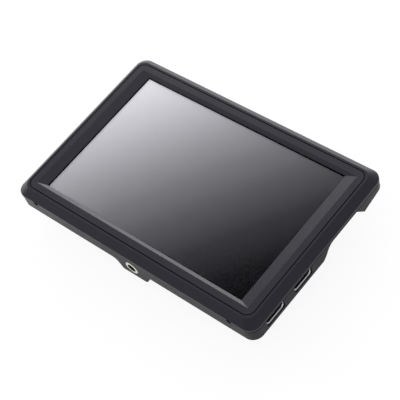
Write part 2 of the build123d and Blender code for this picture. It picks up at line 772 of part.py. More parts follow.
with BuildPart() as mount_bracket:
    width = (-bracket_half_width, bracket_half_width)
    upright = (bracket_y_outer, bracket_y_outer + bracket_thickness)
    block(width, upright, (bracket_foot_z, insert_z + insert_flange_radius))
    foot = (bracket_y_outer, bracket_foot_end_y)
    block(width, foot, (bracket_foot_z, bracket_foot_z + bracket_thickness))
    with BuildSketch(Plane.XZ.offset(inner_end - bracket_thickness - cut_margin)) as hole:
        with Locations((0, insert_z)):
            Circle(insert_radius)
    extrude(hole.sketch, amount=bracket_thickness + 2 * cut_margin, mode=Mode.SUBTRACT)
    hole_radius = small_screw_radius + screw_clearance
    pegs(bracket_hole_places, hole_radius, bracket_foot_z, bracket_foot_z + bracket_thickness, Mode.SUBTRACT)
save(mount_bracket.part, "mount_bracket")

with BuildPart() as bracket_screws:
    head_z = bracket_foot_z + bracket_thickness
    pegs(bracket_hole_places, small_screw_head, head_z, head_z + small_screw_head_height)
    pegs(bracket_hole_places, small_screw_radius, bracket_foot_z - foot_screw_bite, head_z)
save(bracket_screws.part, "bracket_screws")

# ---- Main board with its chips and heat sink ----
main_board_right = inner_side - board_clearance - bracket_sheet
socket_inner_x = socket_mouth_x - socket_depth
with BuildPart() as main_board:
    board = (board_z, board_top_z)
    block((main_board_left, main_board_main_edge), (main_board_low, main_board_top), board)
    ear_top_y = port_y[1] + socket_opening_width / 2
    block((main_board_main_edge, main_board_right), (main_board_low, ear_top_y), board)
    for y in port_y:
        notch = around(y, socket_width + 2 * board_clearance)
        block((socket_inner_x - board_clearance, main_board_right), notch, board, Mode.SUBTRACT)
    pegs(main_board_posts, small_screw_radius + screw_clearance, *board, Mode.SUBTRACT)
save(main_board.part, "main_board")

with BuildPart() as processor:
    chip = (board_z - processor_height, board_z)
    block(around(processor_x, processor_size), around(processor_y, processor_size), chip)
save(processor.part, "processor")

with BuildPart() as memory_chips:
    for x in (processor_x - memory_gap, processor_x + memory_gap):
        chip = (board_z - memory_height, board_z)
        block(around(x, memory_size[0]), around(processor_y, memory_size[1]), chip)
save(memory_chips.part, "memory_chips")

pad_z = board_z - processor_height - pad_thickness
with BuildPart() as thermal_pad:
    pad = (pad_z, pad_z + pad_thickness)
    block(around(processor_x, processor_size), around(processor_y, processor_size), pad)
save(thermal_pad.part, "thermal_pad")

with BuildPart() as heat_sink:
    block(around(processor_x, sink_width), around(processor_y, sink_length), (pad_z - sink_base, pad_z))
    with BuildSketch(Plane.XY.offset(plateau_floor_z + sink_gap)) as fins:
        with Locations((processor_x, processor_y)):
            with GridLocations((sink_width - sink_fin) / (sink_fin_count - 1), 1, sink_fin_count, 1):
                Rectangle(sink_fin, sink_length)
    extrude(fins.sketch, amount=pad_z - sink_base - plateau_floor_z - sink_gap)
save(heat_sink.part, "heat_sink")

# ---- Video sockets: sheet metal shells with a flared mouth and a tongue inside ----
def socket_outline(x, y, grow):
    """The outline of a video socket's shell, narrower at the foot, grown all round."""
    with BuildSketch(Plane.YZ.offset(x)) as outline:
        with Locations((y, socket_z)):
            Rectangle(socket_width + 2 * grow, socket_height + 2 * grow)
        chamfer(outline.vertices().group_by(Axis.Y)[0], socket_chamfer)
    return outline.sketch


flare_x = socket_mouth_x - socket_flare_length
for y, name in zip(port_y, ("video_in", "video_out")):
    with BuildPart() as shell:
        extrude(socket_outline(socket_inner_x, y, 0), amount=flare_x - socket_inner_x)
        loft([socket_outline(flare_x, y, 0), socket_outline(socket_mouth_x, y, socket_flare)], ruled=True)
        back_x = socket_inner_x + socket_sheet
        extrude(socket_outline(back_x, y, -socket_sheet), amount=flare_x - back_x, mode=Mode.SUBTRACT)
        inside = [
            socket_outline(flare_x, y, -socket_sheet),
            socket_outline(socket_mouth_x, y, socket_flare - socket_sheet / 2),
        ]
        loft(inside, ruled=True, mode=Mode.SUBTRACT)
    save(shell.part, name + "_socket")
    with BuildPart() as tongue:
        reach = (back_x, socket_mouth_x - 2 * socket_flare_length)
        block(reach, around(y, socket_tongue_width), around(socket_z, socket_tongue_height))
    save(tongue.part, name + "_tongue")

# ---- Side board with the power and sound sockets ----
side_board_left = -main_board_right
with BuildPart() as side_board:
    board = (board_z, board_top_z)
    block((side_board_left, side_board_right), (side_board_low, side_board_high), board)
    usb_notch = (side_board_left, side_mouth_x + usb_depth + board_clearance)
    block(usb_notch, around(usb_y, usb_width + 2 * board_clearance), board, Mode.SUBTRACT)
    jack_notch = (side_board_left, -inner_side + tongue_clearance + jack_length + board_clearance)
    block(jack_notch, around(jack_y, jack_width + 2 * board_clearance), board, Mode.SUBTRACT)
    pegs(side_board_posts + side_outer_post, small_screw_radius + screw_clearance, *board, Mode.SUBTRACT)
save(side_board.part, "side_board")

with BuildPart() as power_socket:
    with BuildSketch(Plane.YZ.offset(side_mouth_x)) as profile:
        with Locations((usb_y, side_socket_z)):
            SlotOverall(usb_width, usb_height)
    extrude(amount=usb_depth)
    with BuildSketch(Plane.YZ.offset(side_mouth_x)) as profile:
        with Locations((usb_y, side_socket_z)):
            SlotOverall(usb_width - 2 * usb_sheet, usb_height - 2 * usb_sheet)
    extrude(amount=usb_depth - usb_sheet, mode=Mode.SUBTRACT)
save(power_socket.part, "power_socket")

with BuildPart() as power_socket_tongue:
    reach = (side_mouth_x + usb_sheet * 2, side_mouth_x + usb_depth - usb_sheet)
    block(reach, around(usb_y, usb_tongue_width), around(side_socket_z, usb_tongue_height))
save(power_socket_tongue.part, "power_socket_tongue")

with BuildPart() as headphone_jack:
    body_x = -inner_side + tongue_clearance
    block((body_x, body_x + jack_length), around(jack_y, jack_width), around(jack_z, jack_height))
    with BuildSketch(Plane.YZ.offset(side_mouth_x)):
        with Locations((jack_y, jack_z)):
            Circle(jack_nose_radius)
    extrude(amount=body_x - side_mouth_x)
    with BuildSketch(Plane.YZ.offset(side_mouth_x)):
        with Locations((jack_y, jack_z)):
            Circle(jack_radius)
    extrude(amount=jack_bore_depth, mode=Mode.SUBTRACT)
save(headphone_jack.part, "headphone_jack")

with BuildPart() as board_screws:
    places = main_board_posts + side_board_posts + side_outer_post
    pegs(places, small_screw_head, board_top_z, board_top_z + small_screw_head_height)
    pegs(places, small_screw_radius, board_z - screw_bite, board_top_z)
save(board_screws.part, "board_screws")

# ---- Speaker ----
with BuildPart() as speaker:
    low = plateau_floor_z
    block(around(speaker_x, speaker_length), around(speaker_y, speaker_width), (low, low + speaker_height))
    chamfer(speaker.edges().filter_by(Axis.Z), speaker_corner)
    with BuildSketch(Plane.XY.offset(low)) as cone:
        with Locations((speaker_x, speaker_y)):
            SlotOverall(speaker_length - 2 * cone_margin, speaker_width - 2 * cone_margin)
    extrude(cone.sketch, amount=cone_depth, mode=Mode.SUBTRACT)
save(speaker.part, "speaker")

# ---- Keys, their switches and their board ----
key_face_y = cover_height / 2 + key_proud
ear_y = inner_end - screw_clearance - key_ear_thickness
stem_y = ear_y - key_stem_length
switch_y = stem_y - key_travel - screw_clearance
key_board_y = switch_y - switch_depth - key_board_thickness
key_board_half = -light_pipe_x + key_pitch / 2 + key_ear
for x, name in zip(key_x, key_names):
    with BuildPart() as key:
        with BuildSketch(Plane.XZ.offset(-ear_y)) as cap:
            with Locations((x, key_z)):
                Rectangle(key_width, key_height)
            chamfer(cap.vertices(), key_corner)
        extrude(amount=ear_y - key_face_y)
        chamfer(key.faces().sort_by(Axis.Y)[-1].edges(), key_edge)
        with BuildSketch(Plane.XZ.offset(-ear_y)) as ears:
            with Locations((x, key_z)):
                Rectangle(key_width + 2 * key_ear, key_height)
        extrude(ears.sketch, amount=-key_ear_thickness)
        with BuildSketch(Plane.XZ.offset(-ear_y)) as stem:
            with Locations((x, key_z)):
                Rectangle(key_stem_width, key_stem_width)
        extrude(stem.sketch, amount=key_stem_length)
    save(key.part, name)

with BuildPart() as key_board:
    low = floor_z + board_clearance / 2
    board_y = (key_board_y, key_board_y + key_board_thickness)
    block((-key_board_half, key_board_half), board_y, (low, low + key_board_height))
save(key_board.part, "key_board")

with BuildPart() as key_switches:
    for x in key_x:
        block(around(x, switch_size), (switch_y - switch_depth, switch_y), around(key_z, switch_size))
save(key_switches.part, "key_switches")

with BuildPart() as power_light_pipe:
    with BuildSketch(Plane.XZ.offset(-key_board_y - key_board_thickness)):
        with Locations((light_pipe_x, key_z)):
            Circle(light_pipe_radius)
    extrude(amount=key_board_y + key_board_thickness - key_face_y)
save(power_light_pipe.part, "power_light_pipe")

# ---- Flat cables ----
with BuildPart() as panel_flex:
    across = around(panel_flex_x, panel_flex_width)
    fold_y = -tray_height / 2 - tray_clearance
    low_z = tray_z - tray_clearance - flex_thickness
    high_z = cell_z + cell_thickness / 2
    block(across, (fold_y - flex_thickness, fold_y), (low_z, high_z))
    block(across, (fold_y, -tray_height / 2), (high_z - flex_thickness, high_z))
    plug_y = main_board_low + flex_reach
    block(across, (fold_y, plug_y), (low_z, low_z + flex_thickness))
    block(across, (plug_y, plug_y + flex_plug), (board_top_z, low_z + flex_thickness))
save(panel_flex.part, "panel_flex")

with BuildPart() as key_flex:
    across = around(key_flex_x, key_flex_width)
    block(across, (main_board_top - flex_plug, key_board_y), (low_z, low_z + flex_thickness))
    block(across, (main_board_top - flex_plug, main_board_top), (board_top_z, low_z))
save(key_flex.part, "key_flex")

# ---- Battery plate: a recess with rails that hold a slide-on battery ----
recess_half = battery_width / 2 + battery_clearance
ear_low_z = latch_ear_drop
arm_z = battery_recess_depth + latch_arm_thickness
arm_top_z = arm_z + latch_arm_thickness
pin_low_z = battery_recess_depth - latch_travel
pad_low_z = ear_low_z - latch_travel
arm_end_x = latch_pin_x - latch_pin_length / 2
with BuildPart() as battery_plate:
    with BuildSketch() as outline:
        with Locations((0, plate_y)):
            RectangleRounded(plate_width, plate_length, plate_corner_radius)
    extrude(amount=plateau_z)
    with BuildSketch(Plane.XY.offset(ear_low_z)) as ear:
        with Locations((plate_width / 2 + (latch_ear_width - plate_corner_radius) / 2, latch_y)):
            RectangleRounded(latch_ear_width + plate_corner_radius, latch_ear_length, plate_corner_radius)
    extrude(ear.sketch, amount=plateau_z - ear_low_z)
    recess_low_y = plate_low_y + plate_end_wall
    recess = (0, battery_recess_depth)
    block((-recess_half, recess_half), (recess_low_y, plate_high_y), recess, Mode.SUBTRACT)
    # two rail lips on each side, with gaps where the battery's own lips drop in
    for y in (plate_y - plate_lip_length, plate_y + plate_lip_length):
        for side in (-1, 1):
            lip = sorted((side * (recess_half - plate_lip), side * recess_half))
            block(lip, around(y, plate_lip_length), (0, plate_lip_depth))
    # the latch's pocket, and its openings for the pad and the pin
    pocket = (arm_z, plateau_z)
    pad_hole = latch_pad_size + 2 * latch_clearance
    arm_hole = latch_arm_width + 2 * latch_clearance
    block((arm_end_x - latch_clearance, latch_x), around(latch_y, arm_hole), pocket, Mode.SUBTRACT)
    block(around(latch_x, pad_hole), around(latch_y, pad_hole), (ear_low_z, plateau_z), Mode.SUBTRACT)
    pin_hole = around(latch_pin_x, latch_pin_length + 2 * latch_clearance)
    block(pin_hole, around(latch_y, arm_hole), (battery_recess_depth, arm_z), Mode.SUBTRACT)
    # seats for the screws and the window for the contact block's legs
    sink_z = battery_recess_depth + small_screw_head_height + screw_clearance
    seat_radius = small_screw_head + screw_clearance
    pegs(plate_screw_places, seat_radius, battery_recess_depth, sink_z, Mode.SUBTRACT, head_sides)
    pegs(plate_screw_places, small_screw_radius + screw_clearance, sink_z, plateau_z, Mode.SUBTRACT)
    block(*leg_window, (battery_recess_depth, plateau_z), Mode.SUBTRACT)
save(battery_plate.part, "battery_plate")

with BuildPart() as battery_plate_screws:
    pegs(plate_screw_places, small_screw_head, sink_z - small_screw_head_height, sink_z, sides=head_sides)
    pegs(plate_screw_places, small_screw_radius, sink_z, plateau_floor_z + screw_bite)
save(battery_plate_screws.part, "battery_plate_screws")

with BuildPart() as contact_block:
    body = (block_sink, battery_recess_depth)
    block((-block_width / 2, block_width / 2), (recess_low_y, recess_low_y + block_length), body)
    front = contact_block.faces().sort_by(Axis.Y)[-1]
    chamfer(front.edges().sort_by(Axis.Z)[0], block_sink)
    leg_top_z = plateau_floor_z + leg_rise
    block(around(0, leg_width), around(leg_y, leg_depth), (battery_recess_depth, leg_top_z))
save(contact_block.part, "contact_block")

blade_y = recess_low_y + block_length
with BuildPart() as contact_blades:
    blade_top_z = battery_recess_depth - latch_clearance
    for x in (-blade_pitch, 0, blade_pitch):
        length = (blade_y, blade_y + blade_length)
        block(around(x, blade_thickness), length, (blade_top_z - blade_height, blade_top_z))
save(contact_blades.part, "contact_blades")

lead_end_x = main_board_left + lead_plug_length
with BuildPart() as battery_lead:
    across = around(leg_y, lead_width)
    block((0, main_board_left + lead_thickness), across, (leg_top_z, leg_top_z + lead_thickness))
    block((main_board_left, main_board_left + lead_thickness), across, (leg_top_z, board_z))
    block((main_board_left, lead_end_x), across, (board_z - lead_plug_length / 2, board_z))
save(battery_lead.part, "battery_lead")

# ---- Battery release: a pad, an arm and a pin that rise together against a spring ----
with BuildPart() as battery_release:
    with BuildSketch(Plane.XY.offset(pad_low_z)) as pad:
        with Locations((latch_x, latch_y)):
            Rectangle(latch_pad_size, latch_pad_size)
        chamfer(pad.vertices(), latch_edge)
    extrude(pad.sketch, amount=arm_top_z - pad_low_z)
    chamfer(battery_release.faces().sort_by(Axis.Z)[0].edges(), latch_edge)
    block((arm_end_x, latch_x), around(latch_y, latch_arm_width), (arm_z, arm_top_z))
    block(around(latch_pin_x, latch_pin_length), around(latch_y, latch_arm_width), (pin_low_z, arm_z))
    with BuildSketch(Plane.XY.offset(pad_low_z)) as grooves:
        with Locations((latch_x, latch_y)):
            with GridLocations(latch_groove_length, latch_groove_pitch, 1, latch_groove_count):
                Rectangle(latch_groove_length, latch_groove_width)
    extrude(grooves.sketch, amount=latch_groove_depth, mode=Mode.SUBTRACT)
save(battery_release.part, "battery_release")

with BuildPart() as release_spring:
    spring_height = well_top_z - arm_top_z - spring_wire
    spring_low_z = arm_top_z + spring_wire / 2
    with BuildLine(Plane.XY.offset(spring_low_z)) as coil:
        foot = (latch_x, latch_y, spring_low_z)
        Helix(spring_height / spring_turns, spring_height, spring_radius, center=foot)
    with BuildSketch(Plane(origin=coil.line @ 0, z_dir=coil.line % 0)):
        Rectangle(spring_wire, spring_wire)
    sweep(path=coil.line, is_frenet=True)
save(release_spring.part, "release_spring")
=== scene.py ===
from math import cos, pi, sin

import bmesh
import bpy
from mathutils import Matrix, Vector


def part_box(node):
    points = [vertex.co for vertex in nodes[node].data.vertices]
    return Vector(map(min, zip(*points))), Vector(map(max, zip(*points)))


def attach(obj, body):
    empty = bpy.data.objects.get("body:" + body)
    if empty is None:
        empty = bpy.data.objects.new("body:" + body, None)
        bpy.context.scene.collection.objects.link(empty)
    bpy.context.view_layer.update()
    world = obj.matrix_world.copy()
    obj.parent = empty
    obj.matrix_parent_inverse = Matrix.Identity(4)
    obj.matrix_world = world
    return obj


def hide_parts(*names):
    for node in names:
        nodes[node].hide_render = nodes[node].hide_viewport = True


# A seven inch camera field monitor lying on its back with the screen up. Everything is in metres, in
# the construction's own frame: +X is the right of the screen, +Y its top and +Z out of it.
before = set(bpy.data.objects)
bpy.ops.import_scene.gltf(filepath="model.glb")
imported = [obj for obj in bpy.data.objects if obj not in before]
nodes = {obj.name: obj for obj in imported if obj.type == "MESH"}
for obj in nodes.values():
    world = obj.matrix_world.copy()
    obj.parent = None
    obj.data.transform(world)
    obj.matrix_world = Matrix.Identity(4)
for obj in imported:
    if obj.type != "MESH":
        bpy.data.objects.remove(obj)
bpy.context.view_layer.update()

MM = 0.001
scene = bpy.context.scene


# ---- Camera and lamps ----
def place_camera():
    """A long lens in front of the lower right corner, looking down at the screen."""
    right = Vector((0.746644, 0.623428, -0.232080))
    up = Vector((-0.413232, 0.708066, 0.572612))
    back = right.cross(up)
    data = bpy.data.cameras.new("studio_camera")
    data.sensor_width = 36
    data.lens = 114.765
    data.shift_x = -0.00125
    data.shift_y = 0.00125
    data.clip_start = 0.05
    camera = bpy.data.objects.new("studio_camera", data)
    turn = Matrix((right, up, back)).transposed().to_4x4()
    camera.matrix_world = Matrix.Translation(Vector((392.47, -249.24, 601.80)) * MM) @ turn
    scene.collection.objects.link(camera)
    scene.camera = camera


def softbox(name, place, size, power):
    """A rectangular lamp of a given size that faces the monitor."""
    data = bpy.data.lights.new(name, "AREA")
    data.shape = "RECTANGLE"
    data.size, data.size_y = size
    data.energy = power
    lamp = bpy.data.objects.new(name, data)
    lamp.location = place
    lamp.rotation_euler = (-Vector(place)).to_track_quat("-Z", "Y").to_euler()
    scene.collection.objects.link(lamp)


# ---- Shapes ----
def keep(mesh, name, body, finish, slot, *replaced):
    """Make a mesh a piece that rides on a body, in place of the nodes that it stands for."""
    piece = bpy.data.objects.new(name, mesh)
    scene.collection.objects.link(piece)
    mesh.materials.clear()
    mesh.materials.append(finish)
    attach(piece, body)
    if replaced:
        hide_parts(*replaced)
    return piece


def mesh_from(name, corners, faces):
    """A welded mesh from corners in metres, with its faces turned outwards."""
    work = bmesh.new()
    points = [work.verts.new(corner) for corner in corners]
    for face in faces:
        work.faces.new([points[i] for i in face])
    bmesh.ops.remove_doubles(work, verts=work.verts, dist=1e-7)
    bmesh.ops.recalc_face_normals(work, faces=work.faces)
    mesh = bpy.data.meshes.new(name)
    work.to_mesh(mesh)
    work.free()
    return mesh


def between(here, there, around):
    """The faces between two closed rings of points, given the number of each ring's first point."""
    faces = []
    for i in range(around):
        k = (i + 1) % around
        faces.append((here + i, here + k, there + k, there + i))
    return faces


def baked(shape):
    """An object's evaluated shape as a plain mesh; the object itself goes."""
    graph = bpy.context.evaluated_depsgraph_get()
    mesh = bpy.data.meshes.new_from_object(shape.evaluated_get(graph), depsgraph=graph)
    bpy.data.objects.remove(shape)
    return mesh


def helper(name, mesh):
    """A working object that lasts until it is baked."""
    shape = bpy.data.objects.new(name, mesh)
    scene.collection.objects.link(shape)
    return shape


def islands(name):
    """The lowest and highest corners of each separate solid in a construction node."""
    work = bmesh.new()
    work.from_mesh(nodes[name].data)
    bmesh.ops.remove_doubles(work, verts=work.verts, dist=1e-6)
    left = set(work.verts)
    boxes = []
    while left:
        queue = [left.pop()]
        solid = []
        while queue:
            point = queue.pop()
            solid.append(point.co.copy())
            near = {edge.other_vert(point) for edge in point.link_edges} & left
            left -= near
            queue.extend(near)
        low = Vector([min(p[i] for p in solid) for i in range(3)])
        high = Vector([max(p[i] for p in solid) for i in range(3)])
        boxes.append((low, high))
    work.free()
    return sorted(boxes, key=lambda box: tuple(box[0]))


# ---- Trees ----
def add(tree, kind, sockets=None, **settings):
    """Add a node to a tree, with its settings, its socket values and its links."""
    node = tree.nodes.new(kind)
    for key, value in settings.items():
        setattr(node, key, value)
    for key, value in (sockets or {}).items():
        if isinstance(value, bpy.types.NodeSocket):
            tree.links.new(value, node.inputs[key])
        else:
            node.inputs[key].default_value = value
    return node


def geometry_tree(name, inputs):
    """An empty geometry tree with named inputs and one geometry output."""
    tree = bpy.data.node_groups.new(name, "GeometryNodeTree")
    tree.interface.new_socket("Geometry", in_out="INPUT", socket_type="NodeSocketGeometry")
    for label, kind in inputs.items():
        tree.interface.new_socket(label, in_out="INPUT", socket_type="NodeSocket" + kind)
    tree.interface.new_socket("Geometry", in_out="OUTPUT", socket_type="NodeSocketGeometry")
    return tree


def shape_at_points(tree, given, points):
    """End a tree: its shape is set at each point, made real and given its finish."""
    shape = add(tree, "GeometryNodeObjectInfo", {"Object": given["Shape"]})
    placed = add(
        tree, "GeometryNodeInstanceOnPoints", {"Points": points, "Instance": shape.outputs["Geometry"]}
    )
    real = add(tree, "GeometryNodeRealizeInstances", {"Geometry": placed.outputs["Instances"]})
    coated = add(
        tree, "GeometryNodeSetMaterial", {"Geometry": real.outputs["Geometry"], "Material": given["Finish"]}
    )
    add(tree, "NodeGroupOutput", {"Geometry": coated.outputs["Geometry"]})
    return tree


def contact_row_tree():
    """A contact repeated along a straight row."""
    inputs = {"Shape": "Object", "Count": "Int", "Start": "Vector", "Step": "Vector", "Finish": "Material"}
    tree = geometry_tree("row_of_contacts", inputs)
    given = add(tree, "NodeGroupInput").outputs
    line = add(
        tree,
        "GeometryNodeMeshLine",
        {"Count": given["Count"], "Start Location": given["Start"], "Offset": given["Step"]},
    )
    return shape_at_points(tree, given, line.outputs["Mesh"])


def screw_places_tree():
    """A screw repeated at each point of a mesh."""
    tree = geometry_tree("screws_at_places", {"Shape": "Object", "Finish": "Material"})
    given = add(tree, "NodeGroupInput").outputs
    return shape_at_points(tree, given, given["Geometry"])


def repeated(tree, places, **inputs):
    """What a geometry tree makes from a mesh of places and its named inputs, as a plain mesh."""
    shape = helper("repeated", places)
    modifier = shape.modifiers.new("repeat", "NODES")
    modifier.node_group = tree
    for item in tree.interface.items_tree:
        if item.in_out == "INPUT" and item.name in inputs:
            modifier[item.identifier] = inputs[item.name]
    return baked(shape)


def blank_material(name):
    """A node material with an empty tree."""
    material = bpy.data.materials.new(name)
    material.use_nodes = True
    material.node_tree.nodes.clear()
    return material, material.node_tree


def linear(code):
    """An sRGB hex colour as linear RGBA."""
    parts = [int(code[i : i + 2], 16) / 255 for i in (1, 3, 5)]
    return tuple(c / 12.92 if c <= 0.04045 else ((c + 0.055) / 1.055) ** 2.4 for c in parts) + (1.0,)


# ---- Materials: black mouldings ----
def spark_textured_abs(name, dark, light, ior, smooth, rough, depth_mm=0.01):
    """Black ABS from a spark-eroded mould: an even fine grain that dulls and breaks up every highlight."""
    material, tree = blank_material(name)
    place = add(tree, "ShaderNodeTexCoord").outputs["Object"]
    # the real grain is about 0.1 mm, drawn at 0.4 mm so that it shows
    grain = add(tree, "ShaderNodeTexNoise", {"Vector": place, "Scale": 1 / (0.4 * MM), "Detail": 3.0})
    # moulded faces vary a little in gloss over about 15 mm, where the melt cooled at another rate
    cloud = add(tree, "ShaderNodeTexNoise", {"Vector": place, "Scale": 1 / (15 * MM), "Detail": 2.0})
    colour = add(
        tree, "ShaderNodeMix", {0: grain.outputs["Fac"], 6: linear(dark), 7: linear(light)}, data_type="RGBA"
    )
    gloss = add(
        tree, "ShaderNodeMapRange", {"Value": cloud.outputs["Fac"], "To Min": smooth, "To Max": rough}
    )
    relief = add(tree, "ShaderNodeBump", {"Height": grain.outputs["Fac"], "Distance": depth_mm * MM})
    shader = add(
        tree,
        "ShaderNodeBsdfPrincipled",
        {
            "Base Color": colour.outputs[2],
            "Roughness": gloss.outputs["Result"],
            "Normal": relief.outputs["Normal"],
            "IOR": ior,
        },
    )
    add(tree, "ShaderNodeOutputMaterial", {"Surface": shader.outputs["BSDF"]})
    return material


def moulded_resin(name, dark, light, smooth, rough):
    """Filled thermoset resin, pressed in a plain steel mould: dead black or dark with a fine matte skin."""
    material, tree = blank_material(name)
    place = add(tree, "ShaderNodeTexCoord").outputs["Object"]
    # the filler's specks are under 0.1 mm, drawn at 0.3 mm
    speck = add(tree, "ShaderNodeTexNoise", {"Vector": place, "Scale": 1 / (0.3 * MM), "Detail": 3.0})
    colour = add(
        tree, "ShaderNodeMix", {0: speck.outputs["Fac"], 6: linear(dark), 7: linear(light)}, data_type="RGBA"
    )
    gloss = add(
        tree, "ShaderNodeMapRange", {"Value": speck.outputs["Fac"], "To Min": smooth, "To Max": rough}
    )
    relief = add(tree, "ShaderNodeBump", {"Height": speck.outputs["Fac"], "Distance": 0.006 * MM})
    shader = add(
        tree,
        "ShaderNodeBsdfPrincipled",
        {
            "Base Color": colour.outputs[2],
            "Roughness": gloss.outputs["Result"],
            "Normal": relief.outputs["Normal"],
            "IOR": 1.5,
        },
    )
    add(tree, "ShaderNodeOutputMaterial", {"Surface": shader.outputs["BSDF"]})
    return material


# ---- Materials: the screen ----
def panel_painted_reflection():
    """The panel under a painted reflection: a plain grey ramp painted in its colour, falling away from the
    upper left to the lower right.
    """
    material, tree = blank_material("panel_painted_reflection")
    place = add(tree, "ShaderNodeTexCoord").outputs["Object"]
    split = add(tree, "ShaderNodeSeparateXYZ", {"Vector": place})
    # of 255 steps of grey, 1.07 are lost for each millimetre to the right and 0.71 won for each upwards
    across = add(tree, "ShaderNodeMath", {0: split.outputs["X"], 1: -1.07 / MM}, operation="MULTIPLY")
    along = add(tree, "ShaderNodeMath", {0: split.outputs["Y"], 1: 0.71 / MM}, operation="MULTIPLY")
    slope = add(tree, "ShaderNodeMath", {0: across.outputs[0], 1: along.outputs[0]})
    # the ramp's step at the middle of the screen
    middle_grey = 124.0
    tone = add(
        tree,
        "ShaderNodeMapRange",
        {"Value": slope.outputs[0], "From Min": -middle_grey, "From Max": 255.0 - middle_grey},
    )
    # the ramp is painted light: a painted reflection on the screen, put in the panel's own colour
    ramp = add(tree, "ShaderNodeValToRGB", {"Fac": tone.outputs["Result"]})
    reflection_steps = ramp.color_ramp
    reflection_steps.elements[0].color = linear("#020204")
    reflection_steps.elements[1].color = linear("#ffffff")
    # greys in even steps, a little lifted in the lights, with a trace of violet
    greys = ("#1e1d21", "#3e3d41", "#616064", "#848387", "#a8a7ab", "#cac9cd", "#e6e5e8")
    for step, grey in enumerate(greys, 1):
        reflection_steps.elements.new(step / (len(greys) + 1)).color = linear(grey)
    # the painted reflection stands in a black frame that the bezel nearly hides
    width, height = 150.7 * MM, 94.2 * MM
    off_x = add(tree, "ShaderNodeMath", {0: split.outputs["X"]}, operation="ABSOLUTE")
    off_y = add(tree, "ShaderNodeMath", {0: split.outputs["Y"]}, operation="ABSOLUTE")
    in_x = add(tree, "ShaderNodeMath", {0: off_x.outputs[0], 1: width / 2}, operation="LESS_THAN")
    in_y = add(tree, "ShaderNodeMath", {0: off_y.outputs[0], 1: height / 2}, operation="LESS_THAN")
    inside = add(tree, "ShaderNodeMath", {0: in_x.outputs[0], 1: in_y.outputs[0]}, operation="MULTIPLY")
    framed = add(
        tree,
        "ShaderNodeMix",
        {0: inside.outputs[0], 6: linear("#050506"), 7: ramp.outputs["Color"]},
        data_type="RGBA",
    )
    # the pixels' own structure is 0.1 mm, drawn at 0.35 mm and very faint
    cell = add(tree, "ShaderNodeTexNoise", {"Vector": place, "Scale": 1 / (0.35 * MM), "Detail": 1.0})
    gloss = add(tree, "ShaderNodeMapRange", {"Value": cell.outputs["Fac"], "To Min": 0.55, "To Max": 0.65})
    shader = add(
        tree,
        "ShaderNodeBsdfPrincipled",
        {"Base Color": framed.outputs[2], "Roughness": gloss.outputs["Result"], "Specular IOR Level": 0.02},
    )
    add(tree, "ShaderNodeOutputMaterial", {"Surface": shader.outputs["BSDF"]})
    return material


def coated_glass():
    """Float glass with an anti-reflection coating: clear from above, a cool sheen at flat angles only."""
    material, tree = blank_material("coated_glass")
    place = add(tree, "ShaderNodeTexCoord").outputs["Object"]
    # marks left by wiping are about 22 mm across
    smear = add(tree, "ShaderNodeTexNoise", {"Vector": place, "Scale": 1 / (22 * MM), "Detail": 3.0})
    gloss = add(tree, "ShaderNodeMapRange", {"Value": smear.outputs["Fac"], "To Min": 0.03, "To Max": 0.07})
    clear = add(tree, "ShaderNodeBsdfTransparent", {"Color": (1, 1, 1, 1)})
    sheen = add(
        tree, "ShaderNodeBsdfGlossy", {"Color": linear("#d8deff"), "Roughness": gloss.outputs["Result"]}
    )
    bare = add(tree, "ShaderNodeFresnel", {"IOR": 1.12})
    # the coating takes away the weak reflection that is left from above
    amount = add(tree, "ShaderNodeMapRange", {"Value": bare.outputs[0], "From Min": 0.008})
    mixed = add(
        tree, "ShaderNodeMixShader", {0: amount.outputs["Result"], 1: clear.outputs[0], 2: sheen.outputs[0]}
    )
    add(tree, "ShaderNodeOutputMaterial", {"Surface": mixed.outputs[0]})
    return material


def polymer_film(name, dark, light, smooth, rough):
    """Cast polymer film or sheet: smooth, with a faint cloud from its casting."""
    material, tree = blank_material(name)
    place = add(tree, "ShaderNodeTexCoord").outputs["Object"]
    # the cloud changes over about 6 mm
    cloud = add(tree, "ShaderNodeTexNoise", {"Vector": place, "Scale": 1 / (6 * MM), "Detail": 2.0})
    colour = add(
        tree, "ShaderNodeMix", {0: cloud.outputs["Fac"], 6: linear(dark), 7: linear(light)}, data_type="RGBA"
    )
    gloss = add(
        tree, "ShaderNodeMapRange", {"Value": cloud.outputs["Fac"], "To Min": smooth, "To Max": rough}
    )
    relief = add(tree, "ShaderNodeBump", {"Height": cloud.outputs["Fac"], "Distance": 0.01 * MM})
    shader = add(
        tree,
        "ShaderNodeBsdfPrincipled",
        {
            "Base Color": colour.outputs[2],
            "Roughness": gloss.outputs["Result"],
            "Normal": relief.outputs["Normal"],
            "IOR": 1.5,
        },
    )
    add(tree, "ShaderNodeOutputMaterial", {"Surface": shader.outputs["BSDF"]})
    return material


# ---- Materials: metals ----
# a pattern that is squeezed on two axes draws out into lines along the third
ALONG_X = (1.0, 8.0, 8.0)
ALONG_Y = (8.0, 1.0, 8.0)
ALONG_Z = (6.0, 6.0, 1.0)
EVEN = (1.0, 1.0, 1.0)


